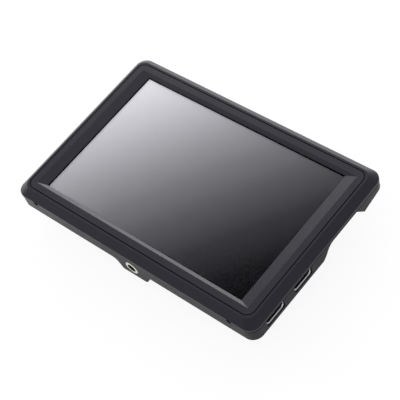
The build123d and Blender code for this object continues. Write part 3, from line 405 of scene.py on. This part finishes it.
def drawn_metal(name, dark, light, smooth, rough, stretch):
    """Rolled, drawn or turned metal under a thin plating: bright, with fine lines along the working."""
    material, tree = blank_material(name)
    place = add(tree, "ShaderNodeTexCoord").outputs["Object"]
    # the tool's lines are about 0.05 mm apart; squeezed eight times, this pattern draws them at 0.3 mm
    drawn = add(tree, "ShaderNodeMapping", {"Vector": place, "Scale": stretch})
    lines = add(
        tree,
        "ShaderNodeTexNoise",
        {"Vector": drawn.outputs["Vector"], "Scale": 1 / (2.4 * MM), "Detail": 4.0},
    )
    colour = add(
        tree, "ShaderNodeMix", {0: lines.outputs["Fac"], 6: linear(dark), 7: linear(light)}, data_type="RGBA"
    )
    gloss = add(
        tree, "ShaderNodeMapRange", {"Value": lines.outputs["Fac"], "To Min": smooth, "To Max": rough}
    )
    relief = add(tree, "ShaderNodeBump", {"Height": lines.outputs["Fac"], "Distance": 0.003 * MM})
    shader = add(
        tree,
        "ShaderNodeBsdfPrincipled",
        {
            "Base Color": colour.outputs[2],
            "Roughness": gloss.outputs["Result"],
            "Normal": relief.outputs["Normal"],
            "Metallic": 1.0,
        },
    )
    add(tree, "ShaderNodeOutputMaterial", {"Surface": shader.outputs["BSDF"]})
    return material


def black_oxide_steel():
    """Steel screws, blackened and oiled: nearly black with a soft metal glint on the edges."""
    material, tree = blank_material("black_oxide_steel")
    place = add(tree, "ShaderNodeTexCoord").outputs["Object"]
    # the oxide is uneven over about 0.8 mm
    mottle = add(tree, "ShaderNodeTexNoise", {"Vector": place, "Scale": 1 / (0.8 * MM), "Detail": 4.0})
    colour = add(
        tree,
        "ShaderNodeMix",
        {0: mottle.outputs["Fac"], 6: linear("#1b1b1e"), 7: linear("#3c3c43")},
        data_type="RGBA",
    )
    gloss = add(tree, "ShaderNodeMapRange", {"Value": mottle.outputs["Fac"], "To Min": 0.28, "To Max": 0.5})
    relief = add(tree, "ShaderNodeBump", {"Height": mottle.outputs["Fac"], "Distance": 0.004 * MM})
    shader = add(
        tree,
        "ShaderNodeBsdfPrincipled",
        {
            "Base Color": colour.outputs[2],
            "Roughness": gloss.outputs["Result"],
            "Normal": relief.outputs["Normal"],
            "Metallic": 1.0,
        },
    )
    add(tree, "ShaderNodeOutputMaterial", {"Surface": shader.outputs["BSDF"]})
    return material


# ---- Materials: boards, cloth and print ----
def solder_mask():
    """Glass epoxy board under green solder mask: the copper tracks show through as lighter lines."""
    material, tree = blank_material("solder_mask")
    place = add(tree, "ShaderNodeTexCoord").outputs["Object"]
    # real tracks are about 0.12 mm wide, drawn at 0.23 mm; their rows are 0.6 mm apart, a quarter of a unit
    tracks = add(
        tree,
        "ShaderNodeTexBrick",
        {
            "Vector": place,
            "Scale": 1 / (2.4 * MM),
            "Mortar Size": 0.05,
            "Color1": linear("#0b3a22"),
            "Color2": linear("#0e4428"),
            "Mortar": linear("#1f7042"),
        },
    )
    # the mask runs thick and thin over about 3 mm
    cloud = add(tree, "ShaderNodeTexNoise", {"Vector": place, "Scale": 1 / (3 * MM), "Detail": 2.0})
    gloss = add(tree, "ShaderNodeMapRange", {"Value": cloud.outputs["Fac"], "To Min": 0.25, "To Max": 0.4})
    relief = add(tree, "ShaderNodeBump", {"Height": tracks.outputs["Fac"], "Distance": 0.03 * MM})
    shader = add(
        tree,
        "ShaderNodeBsdfPrincipled",
        {
            "Base Color": tracks.outputs["Color"],
            "Roughness": gloss.outputs["Result"],
            "Normal": relief.outputs["Normal"],
            "IOR": 1.5,
        },
    )
    add(tree, "ShaderNodeOutputMaterial", {"Surface": shader.outputs["BSDF"]})
    return material


def woven_cloth():
    """Acoustic cloth of plain weave over the speaker: two sets of black threads with dark holes between."""
    material, tree = blank_material("acoustic_cloth")
    place = add(tree, "ShaderNodeTexCoord").outputs["Object"]
    # the real threads lie 0.25 mm apart, drawn 0.38 mm apart: the pattern has 20 / (2 pi) waves to a unit
    unit = 1.2 * MM
    weave = {"Vector": place, "Scale": 1 / unit, "Distortion": 0.3}
    warp = add(tree, "ShaderNodeTexWave", weave, bands_direction="X")
    weft = add(tree, "ShaderNodeTexWave", weave, bands_direction="Y")
    thread = add(
        tree, "ShaderNodeMath", {0: warp.outputs["Fac"], 1: weft.outputs["Fac"]}, operation="MAXIMUM"
    )
    colour = add(
        tree,
        "ShaderNodeMix",
        {0: thread.outputs[0], 6: linear("#050505"), 7: linear("#2c2c2e")},
        data_type="RGBA",
    )
    relief = add(tree, "ShaderNodeBump", {"Height": thread.outputs[0], "Distance": 0.1 * MM})
    shader = add(
        tree,
        "ShaderNodeBsdfPrincipled",
        {
            "Base Color": colour.outputs[2],
            "Roughness": 0.85,
            "Normal": relief.outputs["Normal"],
            "Sheen Weight": 0.2,
        },
    )
    add(tree, "ShaderNodeOutputMaterial", {"Surface": shader.outputs["BSDF"]})
    return material


def pad_printed_ink():
    """Pad-printed marking: flat pale grey ink, thin enough for the key to darken it in spots."""
    material, tree = blank_material("pad_printed_ink")
    place = add(tree, "ShaderNodeTexCoord").outputs["Object"]
    # the thin spots are about 0.25 mm across
    cover = add(tree, "ShaderNodeTexNoise", {"Vector": place, "Scale": 1 / (0.25 * MM), "Detail": 2.0})
    colour = add(
        tree,
        "ShaderNodeMix",
        {0: cover.outputs["Fac"], 6: linear("#9a9a9c"), 7: linear("#d2d2d4")},
        data_type="RGBA",
    )
    gloss = add(tree, "ShaderNodeMapRange", {"Value": cover.outputs["Fac"], "To Min": 0.5, "To Max": 0.65})
    shader = add(
        tree,
        "ShaderNodeBsdfPrincipled",
        {"Base Color": colour.outputs[2], "Roughness": gloss.outputs["Result"], "IOR": 1.5},
    )
    add(tree, "ShaderNodeOutputMaterial", {"Surface": shader.outputs["BSDF"]})
    return material


# ---- Floor and room ----
def place_floor():
    """A white paper sweep: white where the eye or a reflection meets it, with the monitor's soft shadow."""
    material, tree = blank_material("paper_sweep")
    path = add(tree, "ShaderNodeLightPath").outputs
    seen = add(tree, "ShaderNodeMath", {0: path["Is Camera Ray"], 1: path["Is Glossy Ray"]})
    seen = add(tree, "ShaderNodeMath", {0: seen.outputs[0], 1: path["Is Transmission Ray"]}, use_clamp=True)
    # the share of plain white in what is seen; less of it in a reflection, which keeps more of the shadow
    to_the_eye, in_a_reflection = 0.9, 0.1
    mirrored = add(
        tree,
        "ShaderNodeMath",
        {0: path["Is Glossy Ray"], 1: in_a_reflection - to_the_eye},
        operation="MULTIPLY",
    )
    share = add(
        tree,
        "ShaderNodeMath",
        {0: seen.outputs[0], 1: to_the_eye, 2: mirrored.outputs[0]},
        operation="MULTIPLY_ADD",
    )
    place = add(tree, "ShaderNodeTexCoord").outputs["Object"]
    # the paper's tone varies a trace over about 40 mm
    fibre = add(tree, "ShaderNodeTexNoise", {"Vector": place, "Scale": 1 / (40 * MM), "Detail": 2.0})
    colour = add(
        tree,
        "ShaderNodeMix",
        {0: fibre.outputs["Fac"], 6: linear("#f6f6f6"), 7: linear("#fdfdfd")},
        data_type="RGBA",
    )
    paper = add(tree, "ShaderNodeBsdfDiffuse", {"Color": colour.outputs[2]})
    glow = add(tree, "ShaderNodeEmission", {"Color": (1, 1, 1, 1), "Strength": 1.0})
    mixed = add(
        tree, "ShaderNodeMixShader", {0: share.outputs[0], 1: paper.outputs[0], 2: glow.outputs[0]}
    )
    add(tree, "ShaderNodeOutputMaterial", {"Surface": mixed.outputs[0]})
    half = 4.0
    corners = [(-half, -half, 0), (half, -half, 0), (half, half, 0), (-half, half, 0)]
    mesh = bpy.data.meshes.new("paper_sweep")
    mesh.from_pydata(corners, [], [(0, 1, 2, 3)])
    mesh.materials.append(material)
    floor = bpy.data.objects.new("paper_sweep", mesh)
    scene.collection.objects.link(floor)


def fill_room(level, mirrored):
    """An even white room: white to the eye, softer in reflections and as light."""
    world = bpy.data.worlds.new("white_room")
    world.use_nodes = True
    tree = world.node_tree
    tree.nodes.clear()
    path = add(tree, "ShaderNodeLightPath").outputs
    seen = add(
        tree,
        "ShaderNodeMath",
        {0: path["Is Camera Ray"], 1: path["Is Transmission Ray"]},
        use_clamp=True,
    )
    lit = add(
        tree,
        "ShaderNodeMath",
        {0: path["Is Glossy Ray"], 1: mirrored - level, 2: level},
        operation="MULTIPLY_ADD",
    )
    strength = add(
        tree,
        "ShaderNodeMath",
        {0: seen.outputs[0], 1: 1 - level, 2: lit.outputs[0]},
        operation="MULTIPLY_ADD",
    )
    room = add(tree, "ShaderNodeBackground", {"Color": (1, 1, 1, 1), "Strength": strength.outputs[0]})
    add(tree, "ShaderNodeOutputWorld", {"Surface": room.outputs[0]})
    scene.world = world


# ---- Pieces ----
# points that lie this close to an edge belong to it
NEAR_EDGE = 0.05 * MM
# a quarter inch tripod thread has 20 turns to the inch
THREAD_PITCH = 1.27 * MM


def redrawn(node, name, move):
    """A merged copy of a construction node's mesh, whose points a given function may move."""
    source = nodes[node].data
    work = bmesh.new()
    work.from_mesh(source)
    bmesh.ops.remove_doubles(work, verts=work.verts, dist=1e-7)
    for point in work.verts:
        move(point.co)
    mesh = bpy.data.meshes.new(name)
    work.to_mesh(mesh)
    work.free()
    # merging spoils the directions that the corners of the faces carry, so the node's own are set again
    mesh.normals_split_custom_set([corner.vector.copy() for corner in source.corner_normals])
    return mesh


def past_straight(place, straight):
    """How far a point lies past the straight parts of a rounded rectangle's sides, along X and Y."""
    return Vector([max(abs(place[i]) - straight[i], 0) for i in range(2)])


def bezel_in_its_gap(finish):
    """The screen bezel with its outer edge drawn in, so that the dark gap round it is 0.6 mm wide."""
    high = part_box("screen_bezel")[1]
    radius, draw_in = 5.0 * MM, 0.25 * MM
    straight = (high[0] - radius, high[1] - radius)

    def move(place):
        beyond = past_straight(place, straight)
        if beyond.length > radius - NEAR_EDGE:
            beyond *= 1 - draw_in / beyond.length
            for i in range(2):
                if beyond[i] > 0:
                    place[i] = (straight[i] + beyond[i]) * (1 if place[i] > 0 else -1)

    mesh = redrawn("screen_bezel", "drawn_in_bezel", move)
    keep(mesh, "drawn_in_bezel", "housing", finish, "bezel_plastic", "screen_bezel")


def casing_over_its_gap(finish):
    """The front casing with its lower outer edge lifted, so that the groove at the parting line shows."""
    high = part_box("front_casing")[1]
    parting, lift, radius = 25.15 * MM, 0.45 * MM, 7.0 * MM
    near_level = 0.02 * MM
    straight = (high[0] - radius, high[1] - radius)

    def move(place):
        reach = past_straight(place, straight).length
        if abs(place.z - parting) < near_level and reach > radius - NEAR_EDGE:
            place.z += lift

    mesh = redrawn("front_casing", "lifted_edge_casing", move)
    keep(mesh, "lifted_edge_casing", "housing", finish, "casing_plastic", "front_casing")


def turned_ring(name, outline, finish, *replaced):
    """A ring turned about the insert's axis; its outline gives radius, depth and height of thread."""
    low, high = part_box("mount_insert")
    centre_z = (low[2] + high[2]) / 2
    around = 56
    corners = []
    for radius, depth, thread in outline:
        for i in range(around):
            turn = i / around
            wave = abs((depth / THREAD_PITCH + turn) % 1 * 2 - 1)
            reach = radius + thread * wave
            angle = 2 * pi * turn
            corners.append((reach * cos(angle), low[1] + depth, centre_z + reach * sin(angle)))
    faces = []
    for j in range(len(outline)):
        faces += between(j * around, (j + 1) % len(outline) * around, around)
    keep(mesh_from(name, corners, faces), name, "housing", finish, "insert_metal", *replaced)


def tripod_insert(bright, dark):
    """A turned insert with a quarter inch thread, bright outside, with painted shade on the thread in its
    bore.
    """
    low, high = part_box("mount_insert")
    length = high[1] - low[1]
    flange = (high[0] - low[0]) / 2 - 0.12 * MM
    body = flange - 0.7 * MM
    bore, mouth = 3.34 * MM, 3.0 * MM
    edge = 0.15 * MM
    outline = [
        (flange - edge, 0, 0),
        (flange, edge, 0),
        (flange, 0.8 * MM, 0),
        (body, 0.8 * MM, 0),
        (body, length, 0),
        (bore, length, 0),
        (bore, 0.35 * MM, 0),
        (mouth, 0, 0),
    ]
    turned_ring("tripod_insert", outline, bright, "mount_insert")
    minor, major = 2.62 * MM, 3.17 * MM
    step = THREAD_PITCH / 8
    outline = [(major + 0.13 * MM, 0.42 * MM, 0), (major + 0.13 * MM, length, 0)]
    depth = length
    while depth > 0.5 * MM:
        outline.append((minor, depth, major - minor))
        depth -= step
    outline.append((mouth - 0.04 * MM, 0.06 * MM, 0))
    # the thread's dark finish is painted shade, standing for the shade deep in the bore
    turned_ring("tripod_thread", outline, dark)


def cross_screw(head_radius, head_height, shank_radius, length):
    """A pan-headed screw with a cross recess, head down, its face at the origin."""
    rim = head_height * 0.3
    outline = [
        (0, 0),
        (head_radius - rim, 0),
        (head_radius - rim * 0.3, rim * 0.3),
        (head_radius, rim),
        (head_radius, head_height),
        (shank_radius, head_height),
        (shank_radius, length - shank_radius),
        (shank_radius * 0.4, length),
        (0, length),
    ]
    around = 24
    corners = []
    for radius, height in outline:
        for i in range(around):
            angle = 2 * pi * i / around
            corners.append((radius * cos(angle), radius * sin(angle), height))
    faces = []
    for j in range(len(outline) - 1):
        for a, b, c, d in between(j * around, (j + 1) * around, around):
            if outline[j][0] == 0:
                faces.append((a, c, d))
            elif outline[j + 1][0] == 0:
                faces.append((a, b, c))
            else:
                faces.append((a, b, c, d))
    screw = helper("cross_screw", mesh_from("cross_screw", corners, faces))
    reach, half, deep = head_radius * 0.58, head_radius * 0.13, head_height * 0.75
    # the recess is a cross of two bars that grow shorter towards their bottom
    above, below = 1.15, 0.55
    bars = []
    bar_faces = []
    for turned in (False, True):
        start = len(bars)
        for height, share in ((-deep, above), (deep, below)):
            for x, y in ((-reach, -half), (reach, -half), (reach, half), (-reach, half)):
                bars.append((-y, x * share, height) if turned else (x * share, y, height))
        sides = [(0, 3, 2, 1), (4, 5, 6, 7), (0, 1, 5, 4), (1, 2, 6, 5), (2, 3, 7, 6), (3, 0, 4, 7)]
        bar_faces += [tuple(start + i for i in side) for side in sides]
    cutter = helper("cross_recess", mesh_from("cross_recess", bars, bar_faces))
    cut = screw.modifiers.new("recess", "BOOLEAN")
    cut.operation = "DIFFERENCE"
    cut.solver = "EXACT"
    cut.use_self = True
    cut.object = cutter
    mesh = baked(screw)
    bpy.data.objects.remove(cutter)
    return mesh


def set_screws(name, tree, finish, head_height, head_radius, shank_radius):
    """Cross-recess screws at each place where the construction node has one."""
    boxes = islands(name)
    low, high = boxes[0]
    mesh = cross_screw(head_radius, head_height, shank_radius, high.z - low.z)
    screw = helper(name + "_shape", mesh)
    places = bpy.data.meshes.new(name + "_places")
    centres = [((a.x + b.x) / 2, (a.y + b.y) / 2, a.z) for a, b in boxes]
    places.from_pydata(centres, [], [])
    result = repeated(tree, places, Shape=screw, Finish=finish)
    bpy.data.objects.remove(screw)
    keep(result, name.replace("_screws", "_cross_screws"), "housing", finish, "screw_steel", name)


def contact_blade(name, length, width, thickness):
    """A stamped contact that points along X, with a bevelled tip, its root at the origin."""
    tip = length - width
    half = width / 2
    outline = [(0, -half), (tip, -half), (length, -half / 2), (length, half / 2), (tip, half), (0, half)]
    corners = [(x, y, z) for z in (0, thickness) for x, y in outline]
    faces = [(0, 5, 4, 3, 2, 1), (6, 7, 8, 9, 10, 11)]
    faces += between(0, len(outline), len(outline))
    return helper(name, mesh_from(name, corners, faces))


def socket_contacts(name, tongue, tree, finish, counts, pitch, length, width, side):
    """Rows of contacts on the upper and lower faces of a socket's tongue; side is where its mouth is."""
    low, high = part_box(tongue)
    thickness, set_back = 0.06 * MM, 0.4 * MM
    middle_y = (low[1] + high[1]) / 2
    start_x = high[0] - set_back - length if side > 0 else low[0] + set_back
    work = bmesh.new()
    for count, level in ((counts[0], high[2]), (counts[1], low[2] - thickness)):
        blade = contact_blade(name + "_blade", length, width, thickness)
        start = (start_x, middle_y - pitch * (count - 1) / 2, level)
        places = bpy.data.meshes.new(name + "_places")
        step = (0.0, pitch, 0.0)
        row = repeated(tree, places, Shape=blade, Count=count, Start=start, Step=step, Finish=finish)
        work.from_mesh(row)
        bpy.data.objects.remove(blade)
    mesh = bpy.data.meshes.new(name)
    work.to_mesh(mesh)
    work.free()
    keep(mesh, name, "housing", finish, "contact_metal")


def jack_collar(finish):
    """A rolled metal ring in the mouth of the headphone socket."""
    low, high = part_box("headphone_jack")
    centre_y, centre_z = (low[1] + high[1]) / 2, (low[2] + high[2]) / 2
    inner, outer, proud = 1.85 * MM, 2.2 * MM, 0.25 * MM
    middle, half = (inner + outer) / 2, (outer - inner) / 2
    around, section = 48, 10
    corners = []
    for i in range(around):
        angle = 2 * pi * i / around
        for j in range(section):
            turn = 2 * pi * j / section
            radius = middle + half * cos(turn)
            x = low[0] - proud / 2 + proud / 2 * sin(turn)
            corners.append((x, centre_y + radius * cos(angle), centre_z + radius * sin(angle)))
    faces = []
    for i in range(around):
        faces += between(i * section, (i + 1) % around * section, section)
    keep(mesh_from("jack_collar", corners, faces), "jack_collar", "housing", finish, "nickel")


def speaker_cloth(finish):
    """Cloth stretched over the speaker's mouth, a little sunk in the middle."""
    low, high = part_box("speaker")
    centre = ((low[0] + high[0]) / 2, (low[1] + high[1]) / 2)
    margin = 1.7 * MM
    end_radius = (high[1] - low[1]) / 2 - margin
    straight = (high[0] - low[0]) / 2 - margin - end_radius
    level, sag, thickness = low[2] + 0.15 * MM, 0.35 * MM, 0.15 * MM
    around = 48
    outline = []
    for i in range(around):
        angle = 2 * pi * (i + 0.5) / around
        shift = straight if cos(angle) > 0 else -straight
        outline.append((shift + end_radius * cos(angle), end_radius * sin(angle)))
    shares = [1.0, 0.85, 0.65, 0.4, 0.15]
    corners = []
    for depth in (0, thickness):
        for share in shares:
            height = level + depth + sag * (1 - share * share)
            corners += [(centre[0] + x * share, centre[1] + y * share, height) for x, y in outline]
    sheet = len(shares) * around
    faces = []
    for layer in range(2):
        start = layer * sheet
        for j in range(len(shares) - 1):
            faces += between(start + j * around, start + (j + 1) * around, around)
        last = start + (len(shares) - 1) * around
        faces.append(tuple(last + i for i in range(around)))
    faces += between(0, sheet, around)
    keep(mesh_from("speaker_cloth", corners, faces), "speaker_cloth", "housing", finish, "speaker_frame")


# ---- Marks on the keys ----
def bar(x, z, width, height):
    """An upright rectangle about a point, as a closed outline in millimetres."""
    return [
        (x - width / 2, z - height / 2),
        (x + width / 2, z - height / 2),
        (x + width / 2, z + height / 2),
        (x - width / 2, z + height / 2),
    ]


def power_mark():
    """An open ring with a bar through its gap."""
    outer, inner, gap, steps = 0.75, 0.55, 0.6, 18
    angles = [pi / 2 + gap + (2 * pi - 2 * gap) * i / steps for i in range(steps + 1)]
    pieces = []
    for a, b in zip(angles, angles[1:]):
        pieces.append(
            [
                (inner * cos(a), inner * sin(a)),
                (outer * cos(a), outer * sin(a)),
                (outer * cos(b), outer * sin(b)),
                (inner * cos(b), inner * sin(b)),
            ]
        )
    return pieces + [bar(0, 0.5, 0.2, 0.8)]


def input_mark():
    """An arrow that points into a bracket."""
    bracket = [bar(0.6, 0, 0.2, 1.5), bar(0.3, 0.65, 0.6, 0.2), bar(0.3, -0.65, 0.6, 0.2)]
    return bracket + [bar(-0.5, 0, 0.9, 0.2), [(-0.15, -0.4), (0.3, 0), (-0.15, 0.4)]]


def menu_mark():
    """Three bars."""
    return [bar(0, z, 1.5, 0.22) for z in (-0.5, 0, 0.5)]


def arrow_mark(way):
    """A triangle that points up or down."""
    return [[(-0.75, -0.45 * way), (0.75, -0.45 * way), (0, 0.6 * way)]]


def dots_mark(count):
    """One or two dots in a row, for the keys that the user sets."""
    pitch, radius, around = 0.9, 0.28, 12
    dots = []
    for i in range(count):
        middle = (i - (count - 1) / 2) * pitch
        angles = [2 * pi * j / around for j in range(around)]
        dots.append([(middle + radius * cos(angle), radius * sin(angle)) for angle in angles])
    return dots


def print_mark(key, outlines, finish):
    """Ink 0.02 mm thick on the middle of a key's face, upright to someone behind the top edge."""
    low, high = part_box(key)
    centre_x, centre_z = (low[0] + high[0]) / 2, (low[2] + high[2]) / 2
    thickness = 0.02 * MM
    corners, faces = [], []
    for outline in outlines:
        start, count = len(corners), len(outline)
        for y in (high[1], high[1] + thickness):
            corners += [(centre_x - x * MM, y, centre_z + z * MM) for x, z in outline]
        faces.append(tuple(start + i for i in range(count)))
        faces.append(tuple(start + count + i for i in range(count)))
        faces += between(start, start + count, count)
    name = key + "_mark"
    keep(mesh_from(name, corners, faces), name, key, finish, "key_plastic")


def dress(name, material):
    """Give a construction node its finish."""
    slots = nodes[name].data.materials
    slots.clear()
    slots.append(material)


place_camera()
fill_room(level=0.93, mirrored=0.8)
place_floor()
softbox("rear_softbox", place=(-1.0, 1.5, 0.75), size=(1.8, 1.0), power=26)
softbox("left_softbox", place=(-1.45, -0.2, 0.5), size=(0.8, 0.5), power=9)

casing_abs = spark_textured_abs("casing_abs", "#14121c", "#1d1b27", ior=1.33, smooth=0.34, rough=0.4)
bezel_abs = spark_textured_abs(
    "bezel_abs", "#13111b", "#1a1824", ior=1.38, smooth=0.3, rough=0.38, depth_mm=0.006
)
cover_abs = spark_textured_abs("cover_abs", "#131218", "#1c1b22", ior=1.3, smooth=0.38, rough=0.46)
plate_abs = spark_textured_abs("battery_plate_abs", "#101012", "#18181b", ior=1.4, smooth=0.36, rough=0.46)
key_abs = spark_textured_abs(
    "key_abs", "#1c1c20", "#25252a", ior=1.45, smooth=0.3, rough=0.4, depth_mm=0.004
)

FINISHES = {
    "front_casing": casing_abs,
    "screen_bezel": bezel_abs,
    "rear_cover": cover_abs,
    "battery_plate": plate_abs,
    "battery_release": key_abs,
    "cover_glass": coated_glass(),
    "lcd_cell": panel_painted_reflection(),
    "light_guide": polymer_film("cast_acrylic", "#dfe6e8", "#f2f6f7", smooth=0.05, rough=0.12),
    "power_light_pipe": polymer_film("light_pipe_acrylic", "#cfd8d8", "#e6eded", smooth=0.15, rough=0.25),
    "thermal_pad": polymer_film("thermal_silicone", "#6d7684", "#848d9b", smooth=0.6, rough=0.75),
    "heat_sink": drawn_metal(
        "black_anodised_aluminium", "#2a2b2f", "#45474d", smooth=0.35, rough=0.5, stretch=ALONG_Y
    ),
    "speaker": moulded_resin("speaker_frame_resin", "#121213", "#242426", smooth=0.55, rough=0.7),
}
white_film = polymer_film("diffuser_film", "#e9e9e4", "#f6f6f2", smooth=0.5, rough=0.7)
amber_film = polymer_film("polyimide_film", "#8a4f16", "#b06c22", smooth=0.3, rough=0.45)
# a tinned steel tone, darkened further as painted shade for the insides of the sockets' mouths
tinned_steel_painted_shade = drawn_metal(
    "tinned_socket_steel_painted_shade", "#8f9094", "#b2b3b6", smooth=0.22, rough=0.34, stretch=ALONG_X
)
rolled_sheet = drawn_metal(
    "rolled_steel_sheet", "#8f9194", "#b5b7ba", smooth=0.3, rough=0.45, stretch=ALONG_X
)
spring_wire = drawn_metal(
    "drawn_spring_steel", "#77787c", "#a0a1a5", smooth=0.25, rough=0.4, stretch=ALONG_Z
)
turned_nickel = drawn_metal(
    "turned_nickel_plate", "#e9e5d8", "#fbf8ee", smooth=0.3, rough=0.42, stretch=ALONG_Y
)
gold_flash = drawn_metal(
    "gold_flashed_bronze", "#b8862f", "#e0b45a", smooth=0.2, rough=0.32, stretch=ALONG_X
)
laminate = solder_mask()
chip_epoxy = moulded_resin("chip_epoxy", "#0f0f10", "#1a1a1c", smooth=0.45, rough=0.6)
socket_resin = moulded_resin("socket_resin", "#0d0d0e", "#161618", smooth=0.4, rough=0.55)
screw_steel = black_oxide_steel()

SHARED = {
    white_film: ("diffuser_sheets", "led_strip"),
    amber_film: ("panel_flex", "key_flex", "battery_lead"),
    tinned_steel_painted_shade: ("video_in_socket", "video_out_socket", "power_socket"),
    rolled_sheet: ("backlight_tray", "panel_brackets", "mount_bracket"),
    spring_wire: ("release_spring",),
    turned_nickel: ("mount_insert",),
    gold_flash: ("contact_blades",),
    laminate: ("main_board", "side_board", "key_board"),
    chip_epoxy: ("processor", "memory_chips", "key_switches"),
    socket_resin: (
        "video_in_tongue",
        "video_out_tongue",
        "power_socket_tongue",
        "headphone_jack",
        "contact_block",
    ),
    screw_steel: (
        "panel_screws",
        "bracket_screws",
        "board_screws",
        "cover_screws",
        "battery_plate_screws",
    ),
    key_abs: (
        "power_key",
        "input_key",
        "menu_key",
        "down_key",
        "up_key",
        "function_key_1",
        "function_key_2",
    ),
}
for name, material in FINISHES.items():
    dress(name, material)
for material, names in SHARED.items():
    for name in names:
        dress(name, material)

# a dark brass whose darkness is painted shade in the tripod bore
bore_brass_painted_shade = drawn_metal(
    "brass_bore_painted_shade", "#2b281c", "#464029", smooth=0.4, rough=0.55, stretch=EVEN
)
tripod_insert(turned_nickel, bore_brass_painted_shade)
bezel_in_its_gap(bezel_abs)
casing_over_its_gap(casing_abs)
rows = contact_row_tree()
screws = screw_places_tree()
set_screws(
    "cover_screws", screws, screw_steel, head_height=1.3 * MM, head_radius=2.3 * MM, shank_radius=1.25 * MM
)
set_screws(
    "battery_plate_screws",
    screws,
    screw_steel,
    head_height=0.8 * MM,
    head_radius=1.9 * MM,
    shank_radius=1.0 * MM,
)
for port in ("video_in", "video_out"):
    socket_contacts(
        port + "_contacts",
        port + "_tongue",
        rows,
        gold_flash,
        counts=(10, 9),
        pitch=1.0 * MM,
        length=5.0 * MM,
        width=0.45 * MM,
        side=1,
    )
socket_contacts(
    "power_contacts",
    "power_socket_tongue",
    rows,
    gold_flash,
    counts=(12, 12),
    pitch=0.5 * MM,
    length=3.5 * MM,
    width=0.26 * MM,
    side=-1,
)
jack_collar(tinned_steel_painted_shade)
speaker_cloth(woven_cloth())

ink = pad_printed_ink()
MARKS = {
    "power_key": power_mark(),
    "input_key": input_mark(),
    "menu_key": menu_mark(),
    "down_key": arrow_mark(-1),
    "up_key": arrow_mark(1),
    "function_key_1": dots_mark(1),
    "function_key_2": dots_mark(2),
}
for key, outlines in MARKS.items():
    print_mark(key, outlines, ink)

scene.view_settings.view_transform = "Standard"
